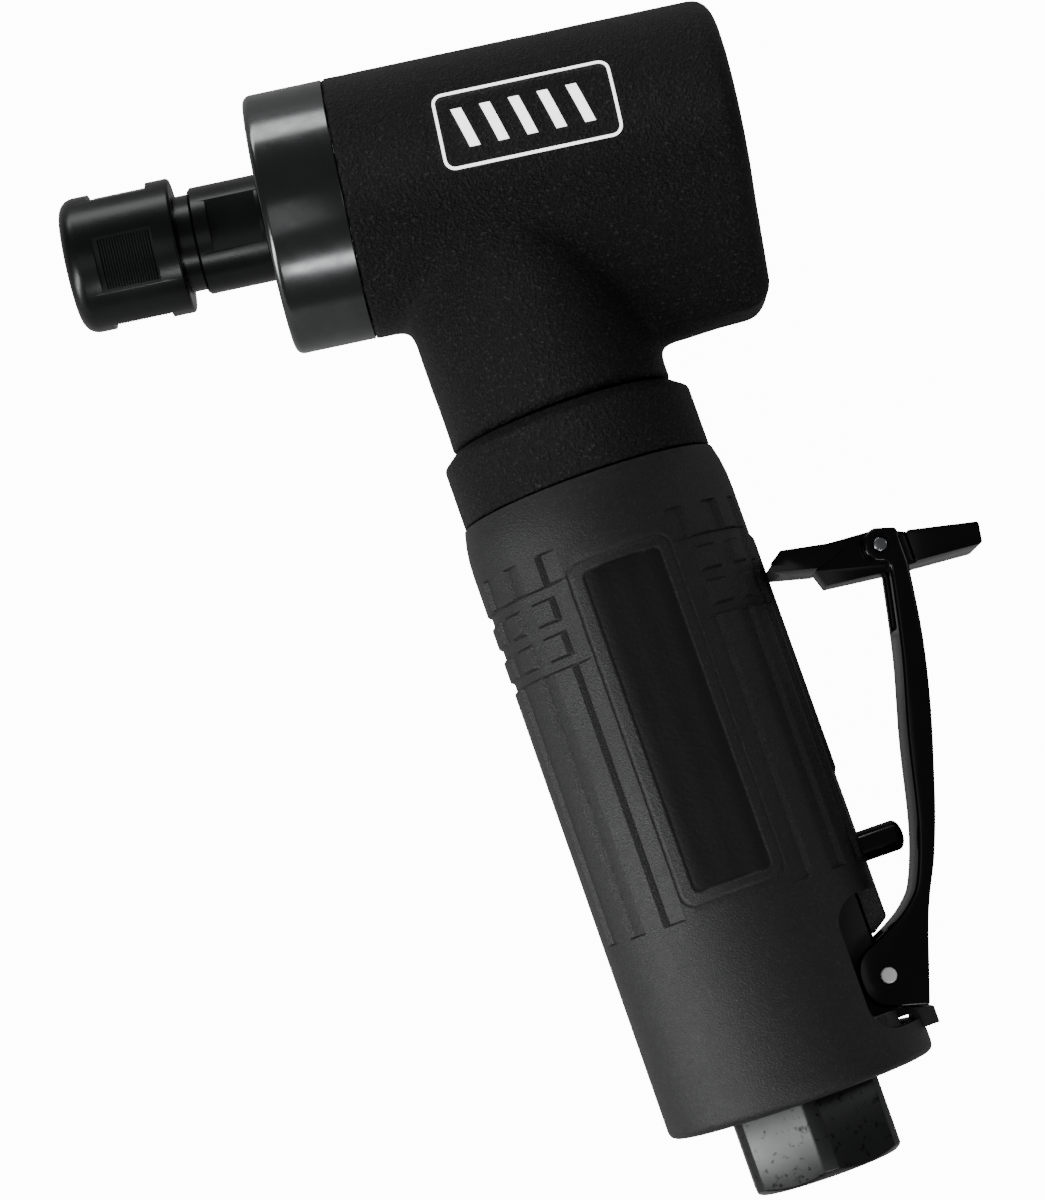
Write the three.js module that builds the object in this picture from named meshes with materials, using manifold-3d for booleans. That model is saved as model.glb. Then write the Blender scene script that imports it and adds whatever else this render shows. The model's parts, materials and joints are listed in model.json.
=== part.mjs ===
// Angle die grinder: an air tool with a bevel-gear head, built piece by piece.
// Millimetres. The handle runs along +Y to the head, the lever is on +X, +Z is up,
// and the tool lies on its side with the origin under the middle of its bounding box.

import * as THREE from 'three';
import { mergeVertices } from 'three/addons/utils/BufferGeometryUtils.js';
import Module from 'manifold-3d';

const wasm = await Module();
wasm.setup();

// ---------------------------------------------------------------- driving sizes

const GAP = 0.3;                    // between pieces that touch on the real tool
const ROUND = 32;                   // sides of a large round piece
const FINE = 16;                    // sides of a small round piece

// Handle, measured along Y from the rear rim of the grip sleeve
const GRIP_RADIUS = 19.6;
const GRIP_LENGTH = 90.7;
const GRIP_WALL = 2.4;
const GRIP_FRONT_RADIUS = GRIP_RADIUS - 0.85;   // the shoulder closes in to the collar
const GRIP_SHOULDER = 6;
const GRIP_EDGE = 1.2;
const COLLAR_RADIUS = GRIP_RADIUS - 1.1;
const COLLAR_LENGTH = 10.5;
const COLLAR_CHAMFER = [2.1, 1.1];  // inwards, and along Y
const CASE_WALL = 2;                // motor case, around the air motor
const CASE_REAR = 7.5;
const CASE_FRONT_LAP = 5.3;         // how far the case reaches into the collar
const BLOCK_FRONT = 34.3;           // front of the solid valve block

// Head, measured from where the spindle axis crosses the handle axis
const NOSE_TILT = 7.231;            // the nose leans towards +Y, from -X
const HEAD_RADIUS = 19.05;
const HEAD_FRONT = 19.2;
const HEAD_REAR = 37.6;
const HEAD_EDGE = 3;
const HEEL_DEPTH = 29.3;            // spindle axis to the bottom of the heel
const HEEL_RADIUS = 8;
const NECK_RADIUS = COLLAR_RADIUS - 2.1;
const SPIGOT_LENGTH = 8.5;
const CAP_RADIUS = 18.95;
const CAP_LENGTH = 11.45;
const CAP_EDGE = 1.2;

// Bevel gears
const PINION_TEETH = 13;
const GEAR_TEETH = 17;
const CONE_DISTANCE = 18;
const FACE_WIDTH = 5.5;
const TOOTH_SHARE = 0.38;           // of the pitch; the rest is space and backlash
const ADDENDUM = 0.8;               // times the module
const DEDENDUM = 1;
const FLANK = 22;

// Spindle, along its own axis, positive towards the nose
const SHAFT_RADIUS = 6;
const REAR_JOURNAL_RADIUS = 5;
const FLANGE_RADIUS = 7.8;
const FLANGE_FRONT = 41.5;
const FLANGE_FLAT = 6.8;
const FLANGE_FLAT_TURN = 94;        // degrees round the spindle, from its +X
const NOSE_NECK_RADIUS = 7;
const THREAD_RADIUS = 6.6;
const NUT_START = 43.8;
const NUT_LENGTH = 16.4;
const NUT_RADIUS = 9.85;
const NUT_EDGE = 3;
const NUT_FLAT = 9;
const NUT_FLAT_LENGTH = 8.6;
const NUT_FLAT_TURN = -15;          // degrees round the spindle, from its +X
const SHANK_RADIUS = 3.175;         // a 6.35 mm shank

// Bearings: [bore radius, outer radius, width, balls]
const FRONT_BEARING = [6, 14, 8, 8];
const REAR_BEARING = [5, 13, 8, 8];
const PINION_BEARING = [5, 11, 6, 8];
const ROTOR_FRONT_BEARING = [4, 8, 5, 7];
const ROTOR_REAR_BEARING = [3, 7.5, 4.2, 7];

// Air motor, along Y
const MOTOR_START = BLOCK_FRONT + 0.5;
const REAR_PLATE_LENGTH = 5.6;
const LINER_LENGTH = (GRIP_LENGTH - BLOCK_FRONT) / 2;
const LINER_BORE = 11;
const LINER_OFFSET = 0.9;
const FRONT_PLATE_LENGTH = 6.8;
const ROTOR_RADIUS = 9.7;
const VANE_COUNT = 4;
const VANE_THICKNESS = 1.2;
const VANE_DEPTH = 5.1;
const VANE_TIP = 9.95;
const DRIVE_FLATS = 6.6;            // hexagon between rotor and pinion

// Inlet and throttle valve, along Y
const HEX_FLATS = 21;
const HEX_CORNER_RADIUS = 11.6;
const HEX_REACH = 11.2;
const SHANK_BORE_RADIUS = 5.7;
const BUSH_SHANK_RADIUS = 8.8;
const BUSH_FRONT = 11.2;
const SEAT_START = 19.2;
const SEAT_LENGTH = 2;
const STEM_RADIUS = 1.3;
const STEM_END = 31.2;
const DISC_RADIUS = 4.2;
const DISC_LENGTH = 1.8;
const PLUNGER_Y = 30;
const PLUNGER_RADIUS = 2.2;
const PLUNGER_TIP = GRIP_RADIUS + 6.2;
const PLUNGER_BUSH_RADIUS = 3.7;

// Lever, its pivot, and the lock at its top
const PIVOT = [GRIP_RADIUS - 3, 12];
const PIVOT_PIN_RADIUS = 1.15;
const LEVER_HALF_WIDTH = 7.2;
const LEVER_HEEL = [1, 6.2];        // outwards from the grip's surface, and along Y
const LEVER_SHOULDER = [4.7, 17];
const LEVER_SLOT = 5;               // half the gap between its ears
const LUG_HALF_WIDTH = 4.6;
const LUG_RADIUS = 3.6;
const EAR_WEB = 1.6;
const FOOT_BOTTOM = 3.5;
const SLOT_TOP = [18.1, 19.9];      // at the case and outside; clears the pressed lever's web
const LOCK_PIVOT = [GRIP_RADIUS + 16.3, 69.1];
const LOCK_PIN_RADIUS = 1;
const FORK_SLOT = 4.2;
const HUB_HALF_WIDTH = 3.9;
const BLADE_CLEARANCE = 2;          // the blade's hollow end, round the grip
const POCKET = { left: GRIP_RADIUS - 7.9, bottom: 5, top: 24.3, corner: 4.2, floor: 4.9 };

// ---------------------------------------------------------------- worked out

const CASE_RADIUS = GRIP_RADIUS - GRIP_WALL - GAP;
const CASE_BORE = CASE_RADIUS - CASE_WALL;
const COLLAR_START = GRIP_LENGTH + GAP;
const COLLAR_END = COLLAR_START + COLLAR_LENGTH;
const CASE_FRONT = COLLAR_START + CASE_FRONT_LAP;
const SPIGOT_RADIUS = CASE_BORE - 2 * GAP;
const MOTOR_RADIUS = CASE_BORE - GAP;
const NECK_START = COLLAR_END + 0.4;
const HEEL_FLOOR_Y = NECK_START + 5.15;
const SPINDLE_Y = NECK_START + 36.52;
const NOSE_ANGLE = THREE.MathUtils.degToRad(90 - NOSE_TILT);
const GEAR_RATIO = GEAR_TEETH / PINION_TEETH;
const PINION_CONE = Math.atan2(Math.sin(NOSE_ANGLE), GEAR_RATIO + Math.cos(NOSE_ANGLE));
const GEAR_CONE = NOSE_ANGLE - PINION_CONE;
const GEAR_MODULE = 2 * CONE_DISTANCE * Math.sin(PINION_CONE) / PINION_TEETH;
const GEAR_BACK = 5.5;              // hub length behind the gear's root
const LINER_START = MOTOR_START + REAR_PLATE_LENGTH + GAP;
const FRONT_PLATE_START = LINER_START + LINER_LENGTH + GAP;
const FRONT_PLATE_END = FRONT_PLATE_START + FRONT_PLATE_LENGTH;
const ROTOR_START = LINER_START + GAP;
const ROTOR_END = FRONT_PLATE_START - 2 * GAP;
const CAP_START = HEAD_FRONT + GAP;
const CAP_END = CAP_START + CAP_LENGTH;
const FRONT_BEARING_START = HEAD_FRONT - 1.7;
const FRONT_BEARING_END = FRONT_BEARING_START + FRONT_BEARING[2];
const REAR_BEARING_START = -HEAD_REAR + 4.6;
const PINION_BEARING_START = NECK_START + 10;
const NUT_END = NUT_START + NUT_LENGTH;

// ---------------------------------------------------------------- solid helpers

function solid(geometry) {
  const bare = new THREE.BufferGeometry();
  bare.setAttribute('position', geometry.getAttribute('position').clone());
  if (geometry.index) {
    bare.setIndex(geometry.index.clone());
  }
  const merged = mergeVertices(bare, 1e-4);
  const points = Float32Array.from(merged.getAttribute('position').array);
  const corners = Array.from(merged.index.array);
  const kept = [];
  let volume = 0;
  const a = new THREE.Vector3();
  const b = new THREE.Vector3();
  const c = new THREE.Vector3();
  for (let i = 0; i < corners.length; i += 3) {
    const [p, q, r] = corners.slice(i, i + 3);
    if (p === q || q === r || r === p) {
      continue;
    }
    kept.push(p, q, r);
    a.fromArray(points, 3 * p);
    b.fromArray(points, 3 * q);
    c.fromArray(points, 3 * r);
    volume += a.dot(b.cross(c));
  }
  if (volume < 0) {
    kept.reverse();
  }
  return new wasm.Manifold(new wasm.Mesh({
    numProp: 3, vertProperties: points, triVerts: Uint32Array.from(kept),
  }));
}

function toGeometry(manifold) {
  const mesh = manifold.getMesh();
  const geometry = new THREE.BufferGeometry();
  geometry.setAttribute('position', new THREE.BufferAttribute(mesh.vertProperties, mesh.numProp));
  geometry.setIndex(new THREE.BufferAttribute(mesh.triVerts, 1));
  return geometry;
}

// A solid of revolution about Y from [radius, y] points; they close on themselves.
function turned(points, sides = ROUND) {
  const profile = points.map(([radius, y]) => new THREE.Vector2(Math.max(radius, 0), y));
  profile.push(profile[0].clone());
  return solid(new THREE.LatheGeometry(profile, sides));
}

function ring(inner, outer, from, to, sides = ROUND) {
  return turned([[inner, from], [outer, from], [outer, to], [inner, to]], sides);
}

// A round bar along Y.
function bar(radius, from, to, sides = FINE) {
  const geometry = new THREE.CylinderGeometry(radius, radius, to - from, sides);
  geometry.translate(0, (from + to) / 2, 0);
  return solid(geometry);
}

// A round bar along Z at [x, y].
function crossPin(radius, [x, y], halfLength, sides = FINE) {
  return bar(radius, -halfLength, halfLength, sides).rotate([90, 0, 0]).translate([x, y, 0]);
}

// A round bar along X at height y on the handle.
function sideBar(radius, from, to, y, sides = FINE) {
  return bar(radius, from, to, sides).rotate([0, 0, -90]).translate([0, y, 0]);
}

function block(x, y, z) {
  const geometry = new THREE.BoxGeometry(x[1] - x[0], y[1] - y[0], z[1] - z[0]);
  geometry.translate((x[0] + x[1]) / 2, (y[0] + y[1]) / 2, (z[0] + z[1]) / 2);
  return solid(geometry);
}

// A flat outline in X and Y, given its thickness along Z.
function plate(shape, from, to, curveSegments = 10) {
  const geometry = new THREE.ExtrudeGeometry(shape, {
    depth: to - from, bevelEnabled: false, curveSegments,
  });
  geometry.translate(0, 0, from);
  return solid(geometry);
}

function hexagonBar(flats, from, to) {
  return bar(flats / Math.sqrt(3), from, to, 6);
}

function outline(points) {
  return new THREE.Shape(points.map(([x, y]) => new THREE.Vector2(x, y)));
}

function wire(curve, radius, segments, sides = 6) {
  const section = new THREE.Shape();
  for (let i = 0; i <= sides; i += 1) {
    const angle = 2 * Math.PI * i / sides;
    const method = i === 0 ? 'moveTo' : 'lineTo';
    section[method](radius * Math.cos(angle), radius * Math.sin(angle));
  }
  return solid(new THREE.ExtrudeGeometry(section, { steps: segments, extrudePath: curve }));
}

class Helix extends THREE.Curve {
  constructor(radius, length, turns, bottomRadius = radius) {
    super();
    Object.assign(this, { radius, length, turns, bottomRadius });
  }

  getPoint(t, target = new THREE.Vector3()) {
    const angle = 2 * Math.PI * this.turns * t;
    const radius = THREE.MathUtils.lerp(this.bottomRadius, this.radius, t);
    return target.set(radius * Math.cos(angle), this.length * (t - 0.5), radius * Math.sin(angle));
  }
}

// ---------------------------------------------------------------- materials

const FINISHES = {
  sandedBlack: { color: 0x2b2c2e, roughness: 0.75, metalness: 0.3 },
  gripRubber: { color: 0x343638, roughness: 0.65, metalness: 0 },
  glossBlack: { color: 0x0c0c0d, roughness: 0.25, metalness: 0 },
  oxideSteel: { color: 0x17181a, roughness: 0.4, metalness: 0.9 },
  darkSteel: { color: 0x55575a, roughness: 0.25, metalness: 1 },
  brightSteel: { color: 0xb9bcc0, roughness: 0.3, metalness: 1 },
  castAluminium: { color: 0x8f9295, roughness: 0.5, metalness: 0.9 },
  brass: { color: 0xb08d4a, roughness: 0.35, metalness: 1 },
  blackRubber: { color: 0x1a1a1b, roughness: 0.8, metalness: 0 },
  felt: { color: 0x9a968c, roughness: 1, metalness: 0 },
  vaneFibre: { color: 0x6a4a2c, roughness: 0.8, metalness: 0 },
};

const grinder = new THREE.Group();
const spindleFrame = new THREE.Group();
spindleFrame.position.set(0, SPINDLE_Y, 0);
spindleFrame.rotation.z = NOSE_ANGLE;
grinder.add(spindleFrame);

function add(name, manifold, finish, parent = grinder) {
  const mesh = new THREE.Mesh(toGeometry(manifold), new THREE.MeshStandardMaterial(FINISHES[finish]));
  mesh.name = name;
  parent.add(mesh);
}

// Moves a solid from the spindle's frame to the tool's frame.
function fromSpindle(manifold) {
  return manifold.rotate([0, 0, 90 - NOSE_TILT]).translate([0, SPINDLE_Y, 0]);
}

// ---------------------------------------------------------------- ball bearings

// Outer ring, inner ring, and the balls in their cage, which is one solid.
function addBearing(name, [bore, outer, width, balls], start, parent) {
  const space = outer - bore - GAP;
  const ringWall = 0.28 * space;
  const end = start + width;
  const track = (bore + GAP + outer) / 2;
  const ballRadius = (space - 2 * ringWall - 2 * GAP) / 2;
  add(`${name}_outer_ring`, ring(outer - ringWall, outer, start, end, FINE), 'brightSteel', parent);
  add(`${name}_inner_ring`, ring(bore + GAP, bore + GAP + ringWall, start, end, FINE),
    'brightSteel', parent);
  const middle = (start + end) / 2;
  const half = 0.3 * width;
  let cage = ring(track - 0.35, track + 0.35, middle - half, middle + half, 2 * balls);
  for (let i = 0; i < balls; i += 1) {
    const angle = 2 * Math.PI * i / balls;
    const ball = new THREE.OctahedronGeometry(ballRadius, 1);
    ball.translate(track * Math.sin(angle), middle, track * Math.cos(angle));
    cage = cage.add(solid(ball));
  }
  add(`${name}_ball_cage`, cage, 'darkSteel', parent);
}

// ---------------------------------------------------------------- bevel gears

// The cone's tip is at the origin and the gear lies towards -Y. The first tooth, or with
// phase 0.5 the first space, faces +X.
function bevelGear(teeth, cone, blankPoints, phase) {
  const pitchRadius = CONE_DISTANCE * Math.sin(cone);
  const pitchY = -CONE_DISTANCE * Math.cos(cone);
  const at = (height) => [pitchRadius + height * Math.cos(cone), pitchY + height * Math.sin(cone)];
  const root = -DEDENDUM * GEAR_MODULE;
  const tip = ADDENDUM * GEAR_MODULE;
  const halfPitch = TOOTH_SHARE * Math.PI * GEAR_MODULE / 2;
  const slope = Math.tan(THREE.MathUtils.degToRad(FLANK));
  const inner = (CONE_DISTANCE - FACE_WIDTH) / CONE_DISTANCE;
  const sunk = root - 0.3;
  const corners = [];
  for (const scale of [1, inner]) {
    for (const [height, side] of [[sunk, -1], [sunk, 1], [tip, 1], [tip, -1]]) {
      const [radius, y] = at(height);
      corners.push(scale * radius, scale * y, scale * side * (halfPitch - height * slope));
    }
  }
  const tooth = new THREE.BufferGeometry();
  tooth.setAttribute('position', new THREE.Float32BufferAttribute(corners, 3));
  tooth.setIndex([0, 2, 1, 0, 3, 2, 4, 5, 6, 4, 6, 7, 0, 1, 5, 0, 5, 4,
    1, 2, 6, 1, 6, 5, 2, 3, 7, 2, 7, 6, 3, 0, 4, 3, 4, 7]);
  const [rootRadius, rootY] = at(root);
  let gear = turned(blankPoints(rootRadius, rootY, inner), ROUND);
  const toothSolid = solid(tooth);
  for (let i = 0; i < teeth; i += 1) {
    gear = gear.add(toothSolid.rotate([0, 360 * (i + phase) / teeth, 0]));
  }
  return gear;
}

function addGears() {
  const bore = SHAFT_RADIUS + GAP;
  const hub = bore + 2.7;
  // Its mate lies towards the handle, which is -X in the spindle's frame.
  const gear = bevelGear(GEAR_TEETH, GEAR_CONE, (radius, y, inner) => [
    [bore, y * inner], [radius * inner, y * inner], [radius, y],
    [radius - 1, y - 1.4], [hub, y - 1.4], [hub, y - GEAR_BACK], [bore, y - GEAR_BACK],
  ], 0.5).rotate([0, 180, 0]);
  add('driven_gear', gear, 'darkSteel', spindleFrame);

  const shaft = PINION_BEARING[0];
  const start = NECK_START - 17.5;
  const socket = hexagonBar(DRIVE_FLATS + 2.5 * GAP, start - 1, NECK_START - 6.5);
  const pinionTop = PINION_BEARING_START + PINION_BEARING[2] + GAP;
  const pinion = bevelGear(PINION_TEETH, PINION_CONE, (radius, y, inner) => [
    [0, y * inner], [radius * inner, y * inner], [radius, y], [radius - 0.8, y - 1.2],
    [shaft + 2.2, y - 1.2], [shaft + 2.2, pinionTop - SPINDLE_Y], [shaft, pinionTop - SPINDLE_Y],
    [shaft, PINION_BEARING_START - GAP - SPINDLE_Y], [shaft + 1.5, PINION_BEARING_START - GAP - SPINDLE_Y],
    [shaft + 1.5, start - SPINDLE_Y], [0, start - SPINDLE_Y],
  ], 0).translate([0, SPINDLE_Y, 0]).subtract(socket);
  add('pinion_gear', pinion, 'darkSteel');
}

// ---------------------------------------------------------------- head

function teardrop() {
  const drop = HEEL_DEPTH - HEEL_RADIUS;
  const lean = Math.asin((HEAD_RADIUS - HEEL_RADIUS) / drop);
  const shape = new THREE.Shape();
  const top = Math.PI / 2 + lean;
  shape.absarc(0, 0, HEAD_RADIUS, -top, top, false);
  shape.absarc(-drop, 0, HEEL_RADIUS, top, 2 * Math.PI - top, false);
  return shape;
}

function addHead() {
  const heelGeometry = new THREE.ExtrudeGeometry(teardrop(), {
    depth: HEAD_REAR - 4 - 2 * HEAD_EDGE, bevelEnabled: true, bevelThickness: HEAD_EDGE,
    bevelSize: HEAD_EDGE, bevelOffset: -HEAD_EDGE, bevelSegments: 2, curveSegments: 10,
  });
  heelGeometry.rotateX(Math.PI / 2);
  heelGeometry.translate(0, -4 - HEAD_EDGE, 0);
  const floor = block([-60, 60], [0, HEEL_FLOOR_Y], [-30, 30]);
  const heel = fromSpindle(solid(heelGeometry)).subtract(floor);
  const barrel = fromSpindle(turned([
    [0, -HEAD_REAR + HEAD_EDGE], [HEAD_RADIUS, -HEAD_REAR + HEAD_EDGE],
    [HEAD_RADIUS, HEAD_FRONT], [0, HEAD_FRONT],
  ]));
  const neck = bar(NECK_RADIUS, NECK_START, SPINDLE_Y - 10, ROUND);
  const spigot = bar(SPIGOT_RADIUS, NECK_START - SPIGOT_LENGTH, NECK_START + 1, ROUND);
  const bearing = FRONT_BEARING[1] + GAP;
  const rearBore = REAR_BEARING[1] + GAP;
  const cavity = fromSpindle(turned([
    [0, REAR_BEARING_START - GAP], [rearBore, REAR_BEARING_START - GAP], [rearBore, -18.5],
    [15.6, -18.5], [15.6, 12], [12.5, 14], [12.5, FRONT_BEARING_START - GAP],
    [bearing, FRONT_BEARING_START - GAP], [bearing, HEAD_FRONT + 1], [0, HEAD_FRONT + 1],
  ]));
  const pinionBore = bar(PINION_BEARING[1] + GAP, NECK_START - SPIGOT_LENGTH - 1, SPINDLE_Y, ROUND);
  const gearBore = bar(12.6, PINION_BEARING_START + PINION_BEARING[2] + 2 * GAP, SPINDLE_Y, ROUND);
  const head = barrel.add(heel).add(neck).add(spigot)
    .subtract(cavity).subtract(pinionBore).subtract(gearBore);
  add('head_housing', head, 'sandedBlack');

  const sealRadius = FLANGE_RADIUS + 2.8;
  add('front_bearing_cap', turned([
    [bearing, CAP_START], [CAP_RADIUS, CAP_START], [CAP_RADIUS, CAP_END - CAP_EDGE],
    [CAP_RADIUS - 0.35, CAP_END - 0.35], [CAP_RADIUS - CAP_EDGE, CAP_END],
    [FLANGE_RADIUS + 0.5, CAP_END], [FLANGE_RADIUS + 0.5, CAP_END - 2],
    [sealRadius, CAP_END - 2], [sealRadius, FRONT_BEARING_END + GAP],
    [bearing, FRONT_BEARING_END + GAP],
  ]), 'darkSteel', spindleFrame);
  add('spindle_seal', ring(FLANGE_RADIUS + GAP, sealRadius - GAP, CAP_END - 4.6, CAP_END - 2 - GAP),
    'blackRubber', spindleFrame);
  add('pinion_spacer', ring(PINION_BEARING[1] - 1.8, PINION_BEARING[1],
    NECK_START - 3, PINION_BEARING_START - GAP), 'castAluminium');
}

// ---------------------------------------------------------------- spindle and collet

function addSpindle() {
  const rearShoulder = REAR_BEARING_START + REAR_BEARING[2] + 2 * GAP;
  const flangeBack = FRONT_BEARING_END + GAP;
  const socketRear = 5;              // collet socket, from its small end to the thread's front
  const threadEnd = NUT_END - socketRear;
  const taperStart = NUT_START + 2;
  let spindle = turned([
    [0, REAR_BEARING_START - GAP / 2], [REAR_JOURNAL_RADIUS, REAR_BEARING_START - GAP / 2],
    [REAR_JOURNAL_RADIUS, rearShoulder], [SHAFT_RADIUS, rearShoulder], [SHAFT_RADIUS, flangeBack],
    [FLANGE_RADIUS, flangeBack], [FLANGE_RADIUS, FLANGE_FRONT - 0.4],
    [FLANGE_RADIUS - 0.4, FLANGE_FRONT], [NOSE_NECK_RADIUS, FLANGE_FRONT],
    [NOSE_NECK_RADIUS, NUT_START - GAP], [THREAD_RADIUS, NUT_START - GAP],
    [THREAD_RADIUS, threadEnd], [5.6, threadEnd], [4.5, taperStart], [3.5, taperStart],
    [3.5, CAP_END], [0, CAP_END],
  ], ROUND - 8);
  const flatLength = [CAP_END + 1, FLANGE_FRONT - 2.4];
  for (const side of [-1, 1]) {
    const x = side > 0 ? [FLANGE_FLAT, FLANGE_RADIUS + 1] : [-FLANGE_RADIUS - 1, -FLANGE_FLAT];
    spindle = spindle.subtract(block(x, flatLength, [-9, 9]).rotate([0, FLANGE_FLAT_TURN, 0]));
  }
  add('spindle', spindle, 'oxideSteel', spindleFrame);

  const colletWall = 0.95;
  const colletRear = SHANK_RADIUS + colletWall;
  let collet = turned([
    [SHANK_RADIUS, taperStart + GAP], [colletRear, taperStart + GAP], [5.25, threadEnd],
    [5.25, threadEnd + 1.5], [4.4, NUT_END - 0.8], [SHANK_RADIUS, NUT_END - 0.8],
  ], FINE);
  for (const angle of [0, 120, 240]) {
    const slit = block([0, 8], [taperStart + 4, NUT_END], [-0.35, 0.35]);
    collet = collet.subtract(slit.rotate([0, angle, 0]));
  }
  add('collet', collet, 'brightSteel', spindleFrame);

  const bore = THREAD_RADIUS + 0.4;
  let nut = turned([
    [bore + 0.3, NUT_START], [NUT_RADIUS - 0.5, NUT_START], [NUT_RADIUS, NUT_START + 0.5],
    [NUT_RADIUS, NUT_END - NUT_EDGE], [NUT_RADIUS - 0.4, NUT_END - 1.5],
    [NUT_RADIUS - 1.5, NUT_END - 0.4], [NUT_RADIUS - NUT_EDGE, NUT_END],
    [5, NUT_END], [5, NUT_END - 0.6], [bore, NUT_END - 4.2], [bore, NUT_START + 0.4],
  ], ROUND);
  for (let i = 0; i < 4; i += 1) {
    const flat = block([NUT_FLAT, NUT_RADIUS + 1],
      [NUT_START + 3.3, NUT_START + 3.3 + NUT_FLAT_LENGTH], [-6, 6]);
    nut = nut.subtract(flat.rotate([0, NUT_FLAT_TURN + 90 * i, 0]));
  }
  add('collet_nut', nut, 'oxideSteel', spindleFrame);

  const gearRear = -CONE_DISTANCE * Math.cos(GEAR_CONE)
    - DEDENDUM * GEAR_MODULE * Math.sin(GEAR_CONE) - GEAR_BACK;
  add('spindle_spacer', ring(SHAFT_RADIUS + GAP, SHAFT_RADIUS + 2.5,
    rearShoulder - GAP, gearRear - GAP, FINE), 'castAluminium', spindleFrame);
  addBearing('spindle_front_bearing', FRONT_BEARING, FRONT_BEARING_START, spindleFrame);
  addBearing('spindle_rear_bearing', REAR_BEARING, REAR_BEARING_START, spindleFrame);
  addBearing('pinion_bearing', PINION_BEARING, PINION_BEARING_START, grinder);
}

// ---------------------------------------------------------------- handle

// The clearance pocket for the lever's ears, on both sides of the lug.
function earPockets() {
  const { left, bottom, top, corner, floor } = POCKET;
  const right = GRIP_RADIUS + 5;
  const shape = new THREE.Shape();
  shape.moveTo(right, bottom);
  shape.lineTo(left + corner, bottom);
  shape.absarc(left + corner, bottom + corner, corner, -Math.PI / 2, Math.PI, true);
  shape.absarc(left + corner, top - corner, corner, Math.PI, Math.PI / 2, true);
  shape.lineTo(right, top);
  const height = GRIP_RADIUS + 5;
  return plate(shape, floor, height, 5).add(plate(shape, -height, -floor, 5));
}

// Where the lever's web dips into the sleeve, and where the lug's foot passes it.
function leverSlot() {
  const outside = GRIP_RADIUS + 5;
  const half = LEVER_HALF_WIDTH + GAP;
  const foot = LUG_HALF_WIDTH + GAP;
  const rear = CASE_RADIUS - 2;
  const [lowTop, highTop] = SLOT_TOP;
  const slot = outline([
    [rear, POCKET.bottom], [outside, POCKET.bottom], [outside, highTop],
    [GRIP_RADIUS, highTop], [CASE_RADIUS, lowTop], [rear, lowTop],
  ]);
  return plate(slot, -half, half)
    .add(block([PIVOT[0] + 1.6 - GAP, outside], [FOOT_BOTTOM - GAP, POCKET.bottom + 1], [-foot, foot]));
}

function addHandle() {
  const bore = GRIP_RADIUS - GRIP_WALL;
  const sleeve = turned([
    [bore, 0], [GRIP_RADIUS - GRIP_EDGE, 0], [GRIP_RADIUS - 0.35, 0.35], [GRIP_RADIUS, GRIP_EDGE],
    [GRIP_RADIUS, GRIP_LENGTH - GRIP_SHOULDER], [GRIP_RADIUS - 0.25, GRIP_LENGTH - GRIP_SHOULDER / 2],
    [GRIP_FRONT_RADIUS, GRIP_LENGTH], [bore, GRIP_LENGTH],
  ], ROUND + 16)
    .subtract(earPockets()).subtract(leverSlot())
    .subtract(sideBar(PLUNGER_RADIUS + 0.5, CASE_RADIUS - 2, GRIP_RADIUS + 2, PLUNGER_Y));
  add('grip_sleeve', sleeve, 'gripRubber');

  const [inwards, along] = COLLAR_CHAMFER;
  add('lock_collar', turned([
    [CASE_RADIUS + GAP, COLLAR_START], [COLLAR_RADIUS, COLLAR_START],
    [COLLAR_RADIUS, COLLAR_END - along - 0.4], [COLLAR_RADIUS - 0.25, COLLAR_END - along],
    [COLLAR_RADIUS - inwards, COLLAR_END], [SPIGOT_RADIUS + GAP, COLLAR_END],
    [SPIGOT_RADIUS + GAP, CASE_FRONT + GAP], [CASE_RADIUS + GAP, CASE_FRONT + GAP],
  ]), 'sandedBlack');

  let motorCase = bar(CASE_RADIUS, CASE_REAR, CASE_FRONT, ROUND).subtract(earPockets());
  const [px, py] = PIVOT;
  const lug = outline([
    [px - 4, POCKET.bottom + 0.9], [px + 1.6, POCKET.bottom + 0.9], [px + 1.6, FOOT_BOTTOM],
    [px + 4.7, FOOT_BOTTOM], [px + 4.7, POCKET.bottom + 0.9], [px + 4, POCKET.bottom + 1],
    [px + 1.7, POCKET.bottom + 1.6], [px + 1.7, py + LUG_RADIUS - 0.6], [px - 4, py + LUG_RADIUS + 2],
  ]);
  motorCase = motorCase.add(plate(lug, -LUG_HALF_WIDTH, LUG_HALF_WIDTH))
    .add(crossPin(LUG_RADIUS, PIVOT, LUG_HALF_WIDTH));
  const valveBores = bar(CASE_BORE, BLOCK_FRONT, CASE_FRONT + 1, ROUND)
    .add(bar(BUSH_SHANK_RADIUS + GAP, CASE_REAR - 3, BUSH_FRONT + GAP))
    .add(bar(6.3, BUSH_FRONT, SEAT_START + SEAT_LENGTH + GAP))
    .add(bar(4.5, SEAT_START + SEAT_LENGTH, STEM_END + 1.8))
    .add(bar(2, STEM_END + 1, BLOCK_FRONT + 1))
    .add(sideBar(PLUNGER_RADIUS + GAP, 0, 9, PLUNGER_Y))
    .add(sideBar(PLUNGER_BUSH_RADIUS + GAP, 8.3, CASE_RADIUS + 2, PLUNGER_Y));
  motorCase = motorCase.subtract(valveBores).subtract(crossPin(PIVOT_PIN_RADIUS + GAP, PIVOT, 30));
  for (const angle of [-150, -110, -70, -30]) {
    const exhaust = bar(1.6, CASE_REAR - 1, BLOCK_FRONT + 1, 10).translate([0, 0, 12.8]);
    motorCase = motorCase.subtract(exhaust.rotate([0, angle, 0]));
  }
  add('motor_case', motorCase, 'castAluminium');
}

// ---------------------------------------------------------------- inlet and valve

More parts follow.
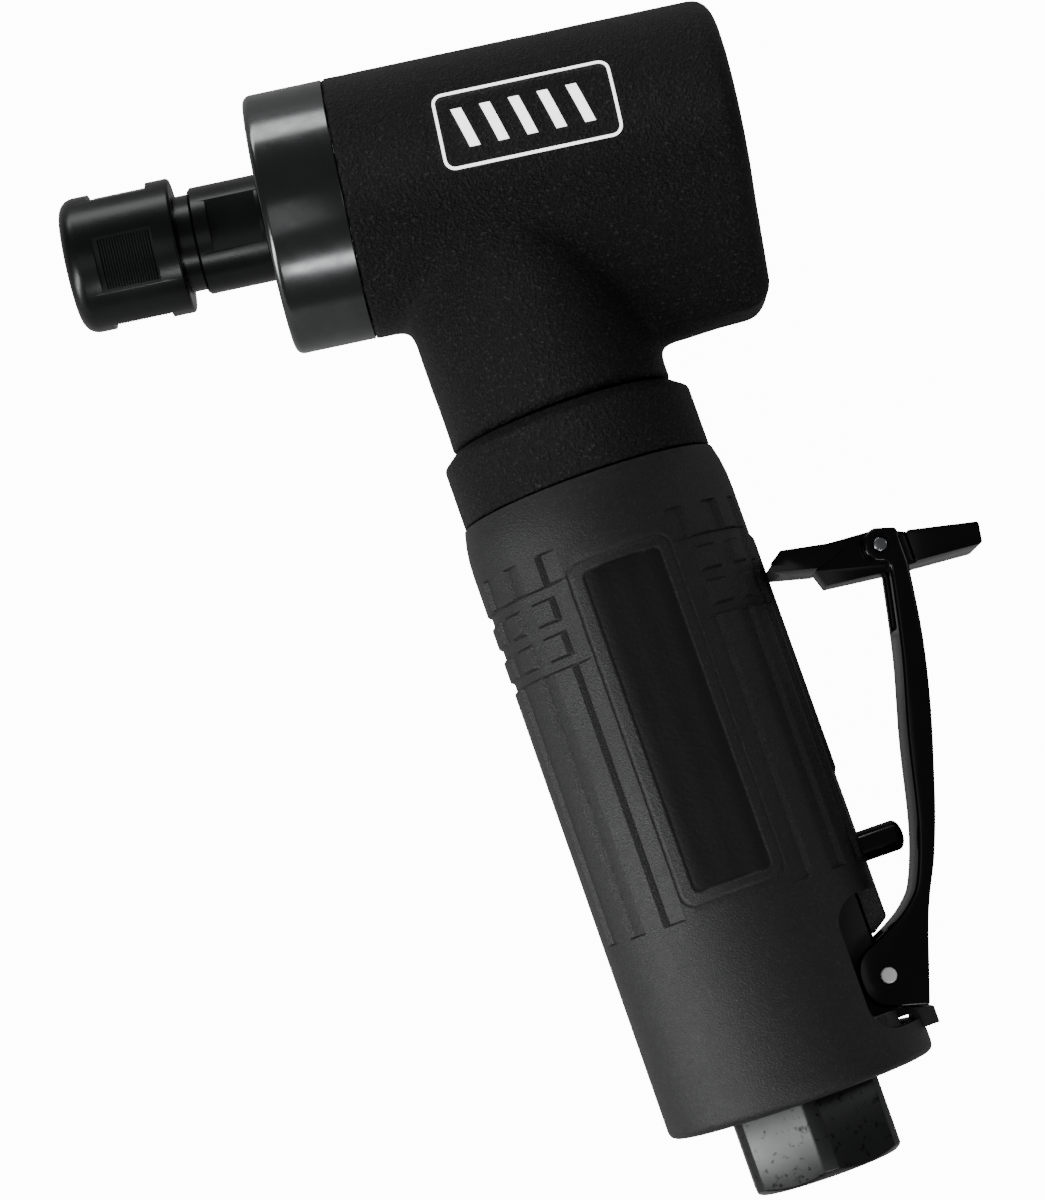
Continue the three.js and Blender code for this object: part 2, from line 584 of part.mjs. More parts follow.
function addInlet() {
  const hexagon = hexagonBar(HEX_FLATS, -HEX_REACH, 1.2).intersect(turned([
    [0, -HEX_REACH], [HEX_CORNER_RADIUS - 1.3, -HEX_REACH], [HEX_CORNER_RADIUS, -HEX_REACH + 0.7],
    [HEX_CORNER_RADIUS, 1.2], [0, 1.2],
  ]));
  const bushing = hexagon.add(bar(9.5, 1, CASE_REAR - 0.5)).add(bar(BUSH_SHANK_RADIUS, 1, BUSH_FRONT))
    .subtract(bar(SHANK_BORE_RADIUS, -HEX_REACH - 1, -0.6))
    .subtract(bar(4.5, -2, BUSH_FRONT + 1));
  add('inlet_bushing', bushing, 'oxideSteel');

  let screen = bar(SHANK_BORE_RADIUS - GAP, -1.5, -0.9);
  for (let i = 0; i < 7; i += 1) {
    const radius = i === 6 ? 0 : 3.1;
    const hole = bar(0.8, -3, 1, 8).translate([radius, 0, 0]);
    screen = screen.subtract(hole.rotate([0, 60 * i, 0]));
  }
  add('inlet_screen', screen, 'brass');

  const lugSpace = LUG_HALF_WIDTH + 0.5;
  const clearOfLug = block([POCKET.left, GRIP_RADIUS], [-1, CASE_REAR], [-lugSpace, lugSpace]);
  let deflector = ring(HEX_FLATS / Math.sqrt(3) + 0.3, CASE_RADIUS, 0.9, 3.2);
  for (let i = 0; i < 10; i += 1) {
    const slot = bar(0.9, 0, 5, 8).translate([0, 0, 14.6]);
    deflector = deflector.subtract(slot.rotate([0, 36 * i, 0]));
  }
  add('exhaust_deflector', deflector.subtract(clearOfLug), 'blackRubber');
  add('muffler_felt', ring(9.5 + GAP, CASE_RADIUS, 3.5, CASE_REAR - GAP).subtract(clearOfLug), 'felt');
}

function addValve() {
  add('valve_seat', ring(2.7, 6, SEAT_START, SEAT_START + SEAT_LENGTH, FINE), 'brass');
  const discTop = SEAT_START - GAP;
  const discBottom = discTop - DISC_LENGTH;
  add('throttle_valve', turned([
    [0, discBottom], [DISC_RADIUS, discBottom], [DISC_RADIUS, discTop - 0.4], [STEM_RADIUS, discTop],
    [STEM_RADIUS, STEM_END], [0, STEM_END],
  ], FINE), 'brightSteel');
  const springWire = 0.3;
  const springLength = 2 * springWire;
  const helix = new Helix(1.7, discBottom - BUSH_FRONT - springLength - 1.6, 2.5, 3.4);
  const springMiddle = BUSH_FRONT + GAP + springWire + helix.length / 2;
  add('valve_spring', wire(helix, springWire, 24, 5).translate([0, springMiddle, 0]), 'brightSteel');

  const inner = STEM_RADIUS + GAP;
  const plunger = sideBar(1.2, inner, 5, PLUNGER_Y)
    .add(sideBar(PLUNGER_RADIUS, 4.5, PLUNGER_TIP - 0.9, PLUNGER_Y))
    .add(sideBar(PLUNGER_RADIUS - 0.3, PLUNGER_TIP - 1, PLUNGER_TIP - 0.35, PLUNGER_Y))
    .add(sideBar(PLUNGER_RADIUS - 0.9, PLUNGER_TIP - 0.5, PLUNGER_TIP, PLUNGER_Y));
  add('valve_plunger', plunger, 'glossBlack');
  const bushBore = sideBar(PLUNGER_RADIUS + GAP, 0, 30, PLUNGER_Y);
  const clip = bar(CASE_RADIUS - 0.5, PLUNGER_Y - 8, PLUNGER_Y + 8, ROUND);
  add('plunger_bushing', sideBar(PLUNGER_BUSH_RADIUS, 10.4, CASE_RADIUS, PLUNGER_Y)
    .subtract(bushBore).intersect(clip), 'brass');
  add('plunger_seal', sideBar(PLUNGER_BUSH_RADIUS, 8.6, 10.1, PLUNGER_Y).subtract(bushBore),
    'blackRubber');
}

// ---------------------------------------------------------------- air motor

function addMotor() {
  const rearPlateEnd = MOTOR_START + REAR_PLATE_LENGTH;
  const [rearShaft, rearOuter, rearWidth] = ROTOR_REAR_BEARING;
  const [frontShaft, frontOuter, frontWidth] = ROTOR_FRONT_BEARING;
  const dowelHole = bar(1.2, 30, 60, 10).translate([0, 0, -12.8]);
  add('rear_end_plate', turned([
    [rearOuter + GAP, MOTOR_START], [MOTOR_RADIUS, MOTOR_START], [MOTOR_RADIUS, rearPlateEnd],
    [rearShaft + 0.6, rearPlateEnd], [rearShaft + 0.6, rearPlateEnd - 1],
    [rearOuter + GAP, rearPlateEnd - 1],
  ]).subtract(dowelHole), 'castAluminium');
  addBearing('rotor_rear_bearing', ROTOR_REAR_BEARING, MOTOR_START + 0.1, grinder);

  const liner = bar(MOTOR_RADIUS, LINER_START, LINER_START + LINER_LENGTH, ROUND)
    .subtract(bar(LINER_BORE, 30, 90, ROUND).translate([0, 0, LINER_OFFSET]))
    .subtract(block([-3, 3], [LINER_START + 8, LINER_START + 20], [8, 20]))
    .subtract(dowelHole);
  add('cylinder_liner', liner, 'brightSteel');
  add('dowel_pin', bar(0.9, MOTOR_START + 1, LINER_START + 5, 10).translate([0, 0, -12.8]), 'brightSteel');

  add('front_end_plate', turned([
    [frontShaft + 0.6, FRONT_PLATE_START], [MOTOR_RADIUS, FRONT_PLATE_START],
    [MOTOR_RADIUS, FRONT_PLATE_END], [frontOuter + GAP, FRONT_PLATE_END],
    [frontOuter + GAP, FRONT_PLATE_START + 1], [frontShaft + 0.6, FRONT_PLATE_START + 1],
  ]), 'castAluminium');
  addBearing('rotor_front_bearing', ROTOR_FRONT_BEARING, FRONT_PLATE_START + 1 + GAP, grinder);
  add('motor_clamp_ring', ring(frontOuter + 0.6, MOTOR_RADIUS, FRONT_PLATE_END + GAP,
    FRONT_PLATE_END + 3.3), 'brightSteel');

  const journalEnd = FRONT_PLATE_START + 1 + GAP + frontWidth + 2;
  let rotor = turned([
    [0, MOTOR_START + 0.1], [rearShaft, MOTOR_START + 0.1], [rearShaft, ROTOR_START],
    [ROTOR_RADIUS, ROTOR_START], [ROTOR_RADIUS, ROTOR_END], [frontShaft, ROTOR_END],
    [frontShaft, journalEnd], [0, journalEnd],
  ]).add(hexagonBar(DRIVE_FLATS, journalEnd - 1, NECK_START - 7.5));
  const vaneInner = VANE_TIP - VANE_DEPTH;
  for (let i = 0; i < VANE_COUNT; i += 1) {
    const angle = 360 * i / VANE_COUNT + 45;
    const half = VANE_THICKNESS / 2;
    const slot = block([-half - GAP, half + GAP], [ROTOR_START - 1, ROTOR_END + 1],
      [vaneInner - GAP, ROTOR_RADIUS + 2]);
    rotor = rotor.subtract(slot.rotate([0, angle, 0]));
    const vane = block([-half, half], [ROTOR_START + 0.1, ROTOR_END - 0.1], [vaneInner, VANE_TIP]);
    add(`rotor_vane_${i + 1}`, vane.rotate([0, angle, 0]), 'vaneFibre');
  }
  add('rotor', rotor, 'darkSteel');
}

// ---------------------------------------------------------------- lever and lock

// The side outline of the throttle lever, from its heel up the outside and back down.
function leverOutline() {
  const [lx, ly] = LOCK_PIVOT;
  const out = (x) => GRIP_RADIUS + x;
  const through = (points) => points.map(([x, y]) => new THREE.Vector2(out(x), y));
  const shape = new THREE.Shape();
  shape.moveTo(out(LEVER_HEEL[0]), LEVER_HEEL[1]);
  shape.splineThru(through([
    LEVER_SHOULDER, [8.4, 25], [12.1, 35], [15.2, 45], [17.6, 55], [19.2, 65.5],
  ]));
  shape.lineTo(lx + 2.9, ly + 1.6);
  shape.lineTo(lx, ly + 2.45);
  shape.absarc(lx, ly, 2.45, Math.PI / 2, 1.45 * Math.PI, false);
  shape.lineTo(out(16.5), 65.6);
  shape.splineThru(through([
    [14, 54], [10.8, 42.5], [7.9, 30.5], [5.2, 23.3], [0.4, 18.7], [-3.3, 16.9],
  ]));
  shape.quadraticCurveTo(out(-7.2), 16, out(-7.2), 12.2);
  shape.quadraticCurveTo(out(-7.2), 8.6, out(-4.4), 7.7);
  return shape;
}

function addLever() {
  const [px, py] = PIVOT;
  const half = LEVER_HALF_WIDTH;
  const heel = new THREE.Vector2(GRIP_RADIUS + LEVER_HEEL[0], LEVER_HEEL[1]);
  const shoulder = new THREE.Vector2(GRIP_RADIUS + LEVER_SHOULDER[0], LEVER_SHOULDER[1]);
  const tilt = Math.atan2(shoulder.x - heel.x, shoulder.y - heel.y);
  const reach = (heel.x - px) * Math.cos(tilt) - (heel.y - py) * Math.sin(tilt);
  const slotRight = reach - EAR_WEB;
  const earSlot = block([-12, slotRight], [-12, 6.2], [-LEVER_SLOT, LEVER_SLOT])
    .rotate([0, 0, -THREE.MathUtils.radToDeg(tilt)]).translate([px, py, 0]);
  const forkSlot = block([LOCK_PIVOT[0] - 6, LOCK_PIVOT[0] + 9], [57.5, 80], [-FORK_SLOT, FORK_SLOT]);
  const lever = plate(leverOutline(), -half, half, 6)
    .subtract(earSlot).subtract(forkSlot)
    .subtract(crossPin(PIVOT_PIN_RADIUS + GAP, PIVOT, 30))
    .subtract(crossPin(LOCK_PIN_RADIUS + GAP, LOCK_PIVOT, 30));
  add('throttle_lever', lever, 'glossBlack');
  add('lever_pivot_pin', crossPin(PIVOT_PIN_RADIUS, PIVOT, half), 'brightSteel');
  add('lock_pin', crossPin(LOCK_PIN_RADIUS, LOCK_PIVOT, half), 'brightSteel');
}

function addLock() {
  const [lx, ly] = LOCK_PIVOT;
  const at = (points) => outline(points.map(([x, y]) => [lx + x, ly + y]));
  const half = LEVER_HALF_WIDTH;
  const sleeveSpace = bar(GRIP_RADIUS + BLADE_CLEARANCE, ly - 5, ly + 10, 2 * ROUND);
  const blade = plate(at([
    [-16.2, 1.4], [-15.8, 2.3], [-13.6, 3.8], [-4.5, 2.1], [-4.5, 1.3], [-8.6, -0.2], [-9.5, -0.3],
  ]), -half, half).subtract(sleeveSpace);
  const hub = plate(at([
    [-9.5, -0.4], [-8.7, -2.8], [0, -3.8], [4.6, -3.9], [4.6, 0.6], [1, 2.4], [-9.5, 3],
  ]), -HUB_HALF_WIDTH, HUB_HALF_WIDTH);
  const tab = plate(at([[4, -3.9], [13.6, -4.6], [14.1, -1.5], [4, 0.7]]), -half, half);
  const springRoom = crossPin(2.75, LOCK_PIVOT, 1.7);
  const lock = blade.add(hub).add(tab).subtract(springRoom)
    .subtract(crossPin(LOCK_PIN_RADIUS + GAP, LOCK_PIVOT, 30));
  add('lock_lever', lock, 'glossBlack');
  const coil = new Helix(1.95, 2.3, 3.25);
  add('lock_spring', wire(coil, 0.32, 36, 5).rotate([90, 0, 0]).translate([lx, ly, 0]), 'brightSteel');
}

// ---------------------------------------------------------------- assembly

addHead();
addGears();
addSpindle();
addHandle();
addInlet();
addValve();
addMotor();
addLever();
addLock();

grinder.updateMatrixWorld(true);
const bounds = new THREE.Box3().setFromObject(grinder, true);
const middle = bounds.getCenter(new THREE.Vector3());
grinder.position.set(-middle.x, -middle.y, -bounds.min.z);

export default grinder;
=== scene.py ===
"""A right-angle air die grinder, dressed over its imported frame, on a pale studio floor."""

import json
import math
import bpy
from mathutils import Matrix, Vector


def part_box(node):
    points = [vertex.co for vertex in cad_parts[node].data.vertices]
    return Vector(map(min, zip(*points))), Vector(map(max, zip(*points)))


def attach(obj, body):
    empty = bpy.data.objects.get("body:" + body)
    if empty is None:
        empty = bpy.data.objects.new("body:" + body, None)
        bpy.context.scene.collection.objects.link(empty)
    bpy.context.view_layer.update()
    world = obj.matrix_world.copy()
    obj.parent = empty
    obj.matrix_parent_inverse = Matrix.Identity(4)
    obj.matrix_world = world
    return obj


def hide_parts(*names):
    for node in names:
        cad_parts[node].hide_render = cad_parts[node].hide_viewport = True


bl_info = {
    "name": "Air Die Grinder",
    "version": (1, 0, 0),
    "blender": (4, 5, 0),
    "location": "3D View > Sidebar > Grinder",
    "description": "Makes the visible pieces of a right-angle air die grinder",
    "category": "Object",
}

import bmesh
import bpy
from mathutils import Matrix, Vector

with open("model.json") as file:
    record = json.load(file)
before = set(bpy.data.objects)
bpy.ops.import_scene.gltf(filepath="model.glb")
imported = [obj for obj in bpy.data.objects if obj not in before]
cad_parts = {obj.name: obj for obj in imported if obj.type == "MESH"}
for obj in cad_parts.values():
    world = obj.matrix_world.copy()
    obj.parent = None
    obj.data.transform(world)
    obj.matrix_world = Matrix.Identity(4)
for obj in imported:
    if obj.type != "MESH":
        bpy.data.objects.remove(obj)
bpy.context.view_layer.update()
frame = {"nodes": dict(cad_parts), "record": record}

# ------------------------------------------------------------ places and shared sizes, in mm

MM = 0.001
SLEEVE_LOW, SLEEVE_HIGH = (Vector(corner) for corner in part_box("grip_sleeve"))
HANDLE = Vector(((SLEEVE_LOW.x + SLEEVE_HIGH.x) / 2, SLEEVE_LOW.y, (SLEEVE_LOW.z + SLEEVE_HIGH.z) / 2))
TOOL = Matrix.Translation(HANDLE) @ Matrix.Scale(MM, 4)
SPINDLE_Y = 138.42
NOSE_TILT = 7.231
NOSE = TOOL @ Matrix.Translation((0, SPINDLE_Y, 0)) @ Matrix.Rotation(math.radians(90 - NOSE_TILT), 4, "Z")

GRIP_RADIUS = 19.6
GRIP_LENGTH = 90.7
SHOULDER_Y = 84.7
GRIP_BORE = 17.2
NECK_START = 101.9
NECK_RADIUS = 16.4
HEEL_FLOOR_Y = 107.05
BARREL_RADIUS = 19.05
BARREL_FRONT = 19.2
BARREL_REAR = 37.6
LEVER_HALF = 7.2
PIVOT = (16.6, 12.0)
LOCK_PIVOT = (35.9, 69.1)
NUT_FLAT_TURN = -15
FLANGE_FLAT_TURN = 94
POCKET_LEFT, POCKET_LOW, POCKET_TOP, POCKET_CORNER, POCKET_FLOOR = 11.7, 5.0, 24.3, 4.2, 4.9


# ------------------------------------------------------------ mesh helpers

def new_object(name, mesh):
    obj = bpy.data.objects.new(name, mesh)
    bpy.context.scene.collection.objects.link(obj)
    return obj


def spin(degrees, axis="Y"):
    return Matrix.Rotation(math.radians(degrees), 4, axis)


def from_faces(name, points, faces, matrix=TOOL):
    """A closed mesh from points in mm, with its faces turned outwards."""
    mesh = bpy.data.meshes.new(name)
    mesh.from_pydata([matrix @ Vector(point) for point in points], [], faces)
    outward(mesh)
    return new_object(name, mesh)


def strip(one, two, count):
    """Quads between two closed rings of points that start at one and two."""
    return [[one + i, one + (i + 1) % count, two + (i + 1) % count, two + i] for i in range(count)]


def outward(mesh, merge=1e-8):
    work = bmesh.new()
    work.from_mesh(mesh)
    bmesh.ops.remove_doubles(work, verts=work.verts, dist=merge)
    bmesh.ops.recalc_face_normals(work, faces=work.faces)
    work.to_mesh(mesh)
    work.free()
    mesh.update()


def turned(name, profile, sides=128, matrix=TOOL):
    """A round piece about the matrix's Y axis, from a loop of (radius, along) points."""
    points, rings = [], []
    for radius, along in profile:
        if radius < 1e-6:
            rings.append([len(points)] * sides)
            points.append((0, along, 0))
            continue
        rings.append(list(range(len(points), len(points) + sides)))
        for i in range(sides):
            angle = math.tau * i / sides
            points.append((radius * math.sin(angle), along, radius * math.cos(angle)))
    faces = []
    closed = profile[0][0] > 1e-6
    for k in range(len(rings) if closed else len(rings) - 1):
        one, two = rings[k], rings[(k + 1) % len(rings)]
        for i in range(sides):
            j = (i + 1) % sides
            corners = []
            for index in (one[i], one[j], two[j], two[i]):
                if index not in corners:
                    corners.append(index)
            if len(corners) > 2:
                faces.append(corners)
    return from_faces(name, points, faces, matrix)


def rounded(points, radius, steps=5, closed=True):
    """The same outline with its corners rounded. radius is one value, or one for each corner."""
    result = []
    count = len(points)
    for i, point in enumerate(points):
        size = radius[i] if isinstance(radius, (list, tuple)) else radius
        here = Vector(point)
        if size <= 0 or (not closed and i in (0, count - 1)):
            result.append(tuple(here))
            continue
        before = Vector(points[i - 1]) - here
        after = Vector(points[(i + 1) % count]) - here
        half = before.angle(after) / 2
        if half < 0.05 or half > 1.54:
            result.append(tuple(here))
            continue
        reach = min(size / math.tan(half), 0.48 * before.length, 0.48 * after.length)
        size = reach * math.tan(half)
        start, end = here + before.normalized() * reach, here + after.normalized() * reach
        centre = here + (before.normalized() + after.normalized()).normalized() * size / math.sin(half)
        one, two = start - centre, end - centre
        turn = one.angle(two)
        for k in range(steps + 1):
            share = k / steps
            arm = (one * math.sin((1 - share) * turn) + two * math.sin(share * turn)) / math.sin(turn)
            result.append(tuple(centre + arm))
    return result


def smooth_curve(points, steps=6):
    """A Catmull-Rom curve through the points."""
    padded = [points[0]] + list(points) + [points[-1]]
    result = []
    for i in range(1, len(padded) - 2):
        a, b, c, d = (Vector(p) for p in padded[i - 1:i + 3])
        for k in range(steps):
            t = k / steps
            result.append(tuple(0.5 * (2 * b + (c - a) * t + (2 * a - 5 * b + 4 * c - d) * t ** 2
                                       + (3 * b - a - 3 * c + d) * t ** 3)))
    result.append(tuple(points[-1]))
    return result


def plate(name, outline, low, high, matrix=TOOL):
    """A flat piece of that outline, from z low to z high."""
    count = len(outline)
    points = [(x, y, low) for x, y in outline] + [(x, y, high) for x, y in outline]
    faces = [list(range(count)), list(range(count, 2 * count))]
    return from_faces(name, points, faces + strip(0, count, count), matrix)


def block(name, x, y, z, matrix=TOOL):
    return plate(name, [(x[0], y[0]), (x[1], y[0]), (x[1], y[1]), (x[0], y[1])], z[0], z[1], matrix)


def cross_pin(name, centre, profile, sides=64):
    """A round piece along Z through centre, from (radius, z) points."""
    turn = TOOL @ Matrix.Translation((centre[0], centre[1], 0)) @ Matrix.Rotation(math.pi / 2, 4, "X")
    return turned(name, profile, sides, turn)


def rod(radius, low, high):
    return [(0, low), (radius, low), (radius, high), (0, high)]


def side_frame(y):
    """Its Y axis points to the tool's +X, at that height on the handle."""
    return TOOL @ Matrix.Translation((0, y, 0)) @ Matrix.Rotation(-math.pi / 2, 4, "Z")


def apply_modifiers(obj):
    depsgraph = bpy.context.evaluated_depsgraph_get()
    mesh = bpy.data.meshes.new_from_object(obj.evaluated_get(depsgraph), depsgraph=depsgraph)
    obj.modifiers.clear()
    old = obj.data
    obj.data = mesh
    mesh.name = obj.name
    bpy.data.meshes.remove(old)


def combine(obj, cutters, operation="DIFFERENCE"):
    for cutter in cutters:
        modifier = obj.modifiers.new("Shape", "BOOLEAN")
        modifier.object = cutter
        modifier.operation = operation
        modifier.solver = "EXACT"
    apply_modifiers(obj)
    for cutter in cutters:
        bpy.data.objects.remove(cutter)
    return obj


def soften(obj, width, segments=3, angle=30):
    """Rounds every edge sharper than the angle."""
    modifier = obj.modifiers.new("Edges", "BEVEL")
    modifier.width = width * MM
    modifier.segments = segments
    modifier.limit_method = "ANGLE"
    modifier.angle_limit = math.radians(angle)
    modifier.use_clamp_overlap = True
    apply_modifiers(obj)
    return obj


def dress(obj, material, body, nodes, sharp=32):
    """Gives a finished piece its material and body, and hides the CAD nodes that it replaces."""
    obj.data.materials.clear()
    obj.data.materials.append(material)
    for face in obj.data.polygons:
        face.material_index = 0
    obj.data.shade_smooth()
    obj.data.set_sharp_from_angle(angle=math.radians(sharp))
    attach(obj, body)
    if nodes:
        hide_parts(*nodes)
    return obj


# ------------------------------------------------------------ shader groups

def new_group(name, inputs, outputs):
    tree = bpy.data.node_groups.new(name, "ShaderNodeTree")
    for label, kind, value in inputs:
        socket = tree.interface.new_socket(label, in_out="INPUT", socket_type=kind)
        if value is not None:
            socket.default_value = value
    for label, kind in outputs:
        tree.interface.new_socket(label, in_out="OUTPUT", socket_type=kind)
    return tree, tree.nodes.new("NodeGroupInput"), tree.nodes.new("NodeGroupOutput")


def put(node, **values):
    """Sets a node's inputs by name, with an underscore for each space."""
    for name, value in values.items():
        node.inputs[name.replace("_", " ")].default_value = value


def grain_group():
    """Fine sand or pebble grain: a height, and a mask of its high spots."""
    tree, given, result = new_group("Fine grain", [
        ("Vector", "NodeSocketVector", None), ("Scale", "NodeSocketFloat", 2000.0),
        ("Patch Scale", "NodeSocketFloat", 120.0), ("Patch Amount", "NodeSocketFloat", 0.3),
    ], [("Height", "NodeSocketFloat"), ("High Spots", "NodeSocketFloat")])
    fine = tree.nodes.new("ShaderNodeTexNoise")
    put(fine, Detail=3, Roughness=0.6)
    coarse = tree.nodes.new("ShaderNodeTexNoise")
    put(coarse, Detail=2)
    joined = tree.nodes.new("ShaderNodeMath")
    joined.operation = "MULTIPLY_ADD"
    spots = tree.nodes.new("ShaderNodeMapRange")
    put(spots, From_Min=0.58, From_Max=0.72)
    link = tree.links.new
    link(given.outputs["Vector"], fine.inputs["Vector"])
    link(given.outputs["Scale"], fine.inputs["Scale"])
    link(given.outputs["Vector"], coarse.inputs["Vector"])
    link(given.outputs["Patch Scale"], coarse.inputs["Scale"])
    link(coarse.outputs["Fac"], joined.inputs[0])
    link(given.outputs["Patch Amount"], joined.inputs[1])
    link(fine.outputs["Fac"], joined.inputs[2])
    link(joined.outputs[0], result.inputs["Height"])
    link(fine.outputs["Fac"], spots.inputs["Value"])
    link(spots.outputs["Result"], result.inputs["High Spots"])
    return tree


def handling_group():
    """Rubbed and smudged areas: a roughness that wanders between two values."""
    tree, given, result = new_group("Handling", [
        ("Vector", "NodeSocketVector", None), ("Scale", "NodeSocketFloat", 60.0),
        ("Smooth", "NodeSocketFloat", 0.3), ("Rough", "NodeSocketFloat", 0.5),
    ], [("Roughness", "NodeSocketFloat"), ("Mask", "NodeSocketFloat")])
    clouds = tree.nodes.new("ShaderNodeTexNoise")
    put(clouds, Detail=5, Roughness=0.65)
    spread = tree.nodes.new("ShaderNodeMapRange")
    put(spread, From_Min=0.32, From_Max=0.68)
    mix = tree.nodes.new("ShaderNodeMapRange")
    link = tree.links.new
    link(given.outputs["Vector"], clouds.inputs["Vector"])
    link(given.outputs["Scale"], clouds.inputs["Scale"])
    link(clouds.outputs["Fac"], spread.inputs["Value"])
    link(spread.outputs["Result"], mix.inputs["Value"])
    link(given.outputs["Smooth"], mix.inputs["To Min"])
    link(given.outputs["Rough"], mix.inputs["To Max"])
    link(mix.outputs["Result"], result.inputs["Roughness"])
    link(spread.outputs["Result"], result.inputs["Mask"])
    return tree


GROUPS = {}


def group(make):
    if make.__name__ not in GROUPS:
        GROUPS[make.__name__] = make()
    return GROUPS[make.__name__]


# ------------------------------------------------------------ materials

def scaled(colour, factor):
    return tuple(factor * channel for channel in colour)


def surface(name, colour, second=None, metallic=0.0, rough=(0.4, 0.5), wander=60.0, grain=2000.0,
            depth=0.02, strength=0.5, patch=0.3, spots=False, **sockets):
    """A procedural surface: two colours mixed by its pattern, wandering roughness, and a fine bump."""
    material = bpy.data.materials.new(name)
    material.use_nodes = True
    material.diffuse_color = (*colour, 1)
    nodes = material.node_tree.nodes
    link = material.node_tree.links.new
    bsdf = nodes["Principled BSDF"]
    place = nodes.new("ShaderNodeTexCoord").outputs["Object"]
    handling = nodes.new("ShaderNodeGroup")
    handling.node_tree = group(handling_group)
    put(handling, Scale=wander, Smooth=rough[0], Rough=rough[1])
    link(place, handling.inputs["Vector"])
    link(handling.outputs["Roughness"], bsdf.inputs["Roughness"])
    texture = nodes.new("ShaderNodeGroup")
    texture.node_tree = group(grain_group)
    put(texture, Scale=grain, Patch_Amount=patch)
    mask = texture.outputs["High Spots"] if spots else handling.outputs["Mask"]
    link(place, texture.inputs["Vector"])
    mix = nodes.new("ShaderNodeMix")
    mix.data_type = "RGBA"
    put(mix, A=(*colour, 1), B=(*(second or scaled(colour, 1.25)), 1))
    link(mask, mix.inputs["Factor"])
    link(mix.outputs["Result"], bsdf.inputs["Base Color"])
    bump = nodes.new("ShaderNodeBump")
    put(bump, Strength=strength, Distance=depth * MM)
    link(texture.outputs["Height"], bump.inputs["Height"])
    link(bump.outputs["Normal"], bsdf.inputs["Normal"])
    put(bsdf, Metallic=metallic)
    put(bsdf, **sockets)
    return material


MATERIALS = {}


def finish(name):
    """The named finish, made once with the colours in the settings."""
    if name in MATERIALS:
        return MATERIALS[name]
    looks = bpy.context.scene.grinder_looks
    grip, head, lever = tuple(looks.grip_colour), tuple(looks.head_colour), tuple(looks.lever_colour)
    steel, oxide = tuple(looks.steel_colour), tuple(looks.oxide_colour)
    kinds = {
        "sanded black": dict(
            name="Sanded black enamel", colour=head, second=scaled(head, 14), grain=2300, depth=0.6,
            strength=1.0, patch=0.25, spots=True, Specular_IOR_Level=0.26),
        "grip rubber": dict(
            name="Charcoal grip rubber", colour=grip, second=scaled(grip, 5), rough=(0.38, 0.48),
            grain=3900, depth=0.13, strength=1.0, spots=True, Specular_IOR_Level=0.5),
        "panel rubber": dict(
            name="Textured grip panel", colour=scaled(grip, 0.6), rough=(0.5, 0.6), grain=1700,
            depth=0.12, strength=0.8, Specular_IOR_Level=0.3),
        "gloss black": dict(
            name="Gloss black enamel", colour=lever, rough=(0.12, 0.2), grain=900, depth=0.01,
            strength=0.3, Specular_IOR_Level=0.35),
        "polished dark": dict(
            name="Polished dark steel", colour=(0.13, 0.135, 0.135), second=(0.1, 0.104, 0.105),
            metallic=1.0, rough=(0.17, 0.25), wander=220.0, grain=1500, depth=0.003, strength=0.15),
        "oxide steel": dict(
            name="Black oxide steel", colour=oxide, metallic=0.9, rough=(0.26, 0.36), grain=2200,
            depth=0.015, strength=0.4),
        "worn oxide": dict(
            name="Worn black oxide steel", colour=(0.045, 0.047, 0.046), second=(0.006, 0.006, 0.006),
            metallic=0.85, rough=(0.28, 0.38), grain=900, depth=0.02, strength=0.3, spots=True),
        "bright steel": dict(
            name="Bright ground steel", colour=steel, metallic=1.0, rough=(0.18, 0.3), grain=2500,
            depth=0.006, strength=0.3),
        "pin steel": dict(
            name="Bright pin steel", colour=(0.92, 0.92, 0.92), metallic=0.35, grain=2500, depth=0.004,
            strength=0.2),
        "gear steel": dict(
            name="Oiled gear steel", colour=scaled(steel, 0.55), metallic=1.0, rough=(0.2, 0.32),
            grain=1800, depth=0.01, strength=0.3),
        "case metal": dict(
            name="Black anodised case", colour=(0.02, 0.02, 0.021), metallic=0.2, rough=(0.42, 0.52),
            grain=2000, depth=0.08, strength=0.7),
        "cast metal": dict(
            name="Grey cast iron", colour=(0.23, 0.23, 0.24), metallic=0.9, rough=(0.45, 0.6),
            grain=1200, depth=0.03, strength=0.6),
        "brass": dict(
            name="Turned brass", colour=(0.69, 0.5, 0.22), second=(0.6, 0.42, 0.18), metallic=1.0,
            rough=(0.2, 0.34), grain=1500, depth=0.008, strength=0.3),
        "black rubber": dict(
            name="Black seal rubber", colour=(0.012, 0.012, 0.012), rough=(0.55, 0.7), grain=1500),
        "felt": dict(
            name="Muffler felt", colour=(0.05, 0.05, 0.05), second=(0.03, 0.03, 0.03), rough=(0.9, 1.0),
            grain=1100, depth=0.25, strength=1.0, Sheen_Weight=0.3),
        "vane": dict(
            name="Vane fibre", colour=(0.3, 0.17, 0.08), second=(0.2, 0.11, 0.05), rough=(0.6, 0.8),
            grain=900, depth=0.03, strength=0.6),
        # The print's emission is painted light: it makes the white print glow as if brightly lit, though it
        # is no lamp.
        "white print with painted glow": dict(
            name="White screen print with painted glow", colour=(0.97, 0.97, 0.97), second=(0.9, 0.9, 0.9), grain=2600,
            strength=0.3, Emission_Color=(1, 1, 1, 1), Emission_Strength=2.5),
    }
    MATERIALS[name] = surface(**kinds[name])
    return MATERIALS[name]


# ------------------------------------------------------------ settings

def length_setting(label, about, value, low, high):
    return bpy.props.FloatProperty(name=label, description=about, default=value * MM, min=low * MM,
                                   max=high * MM, unit="LENGTH", subtype="DISTANCE")


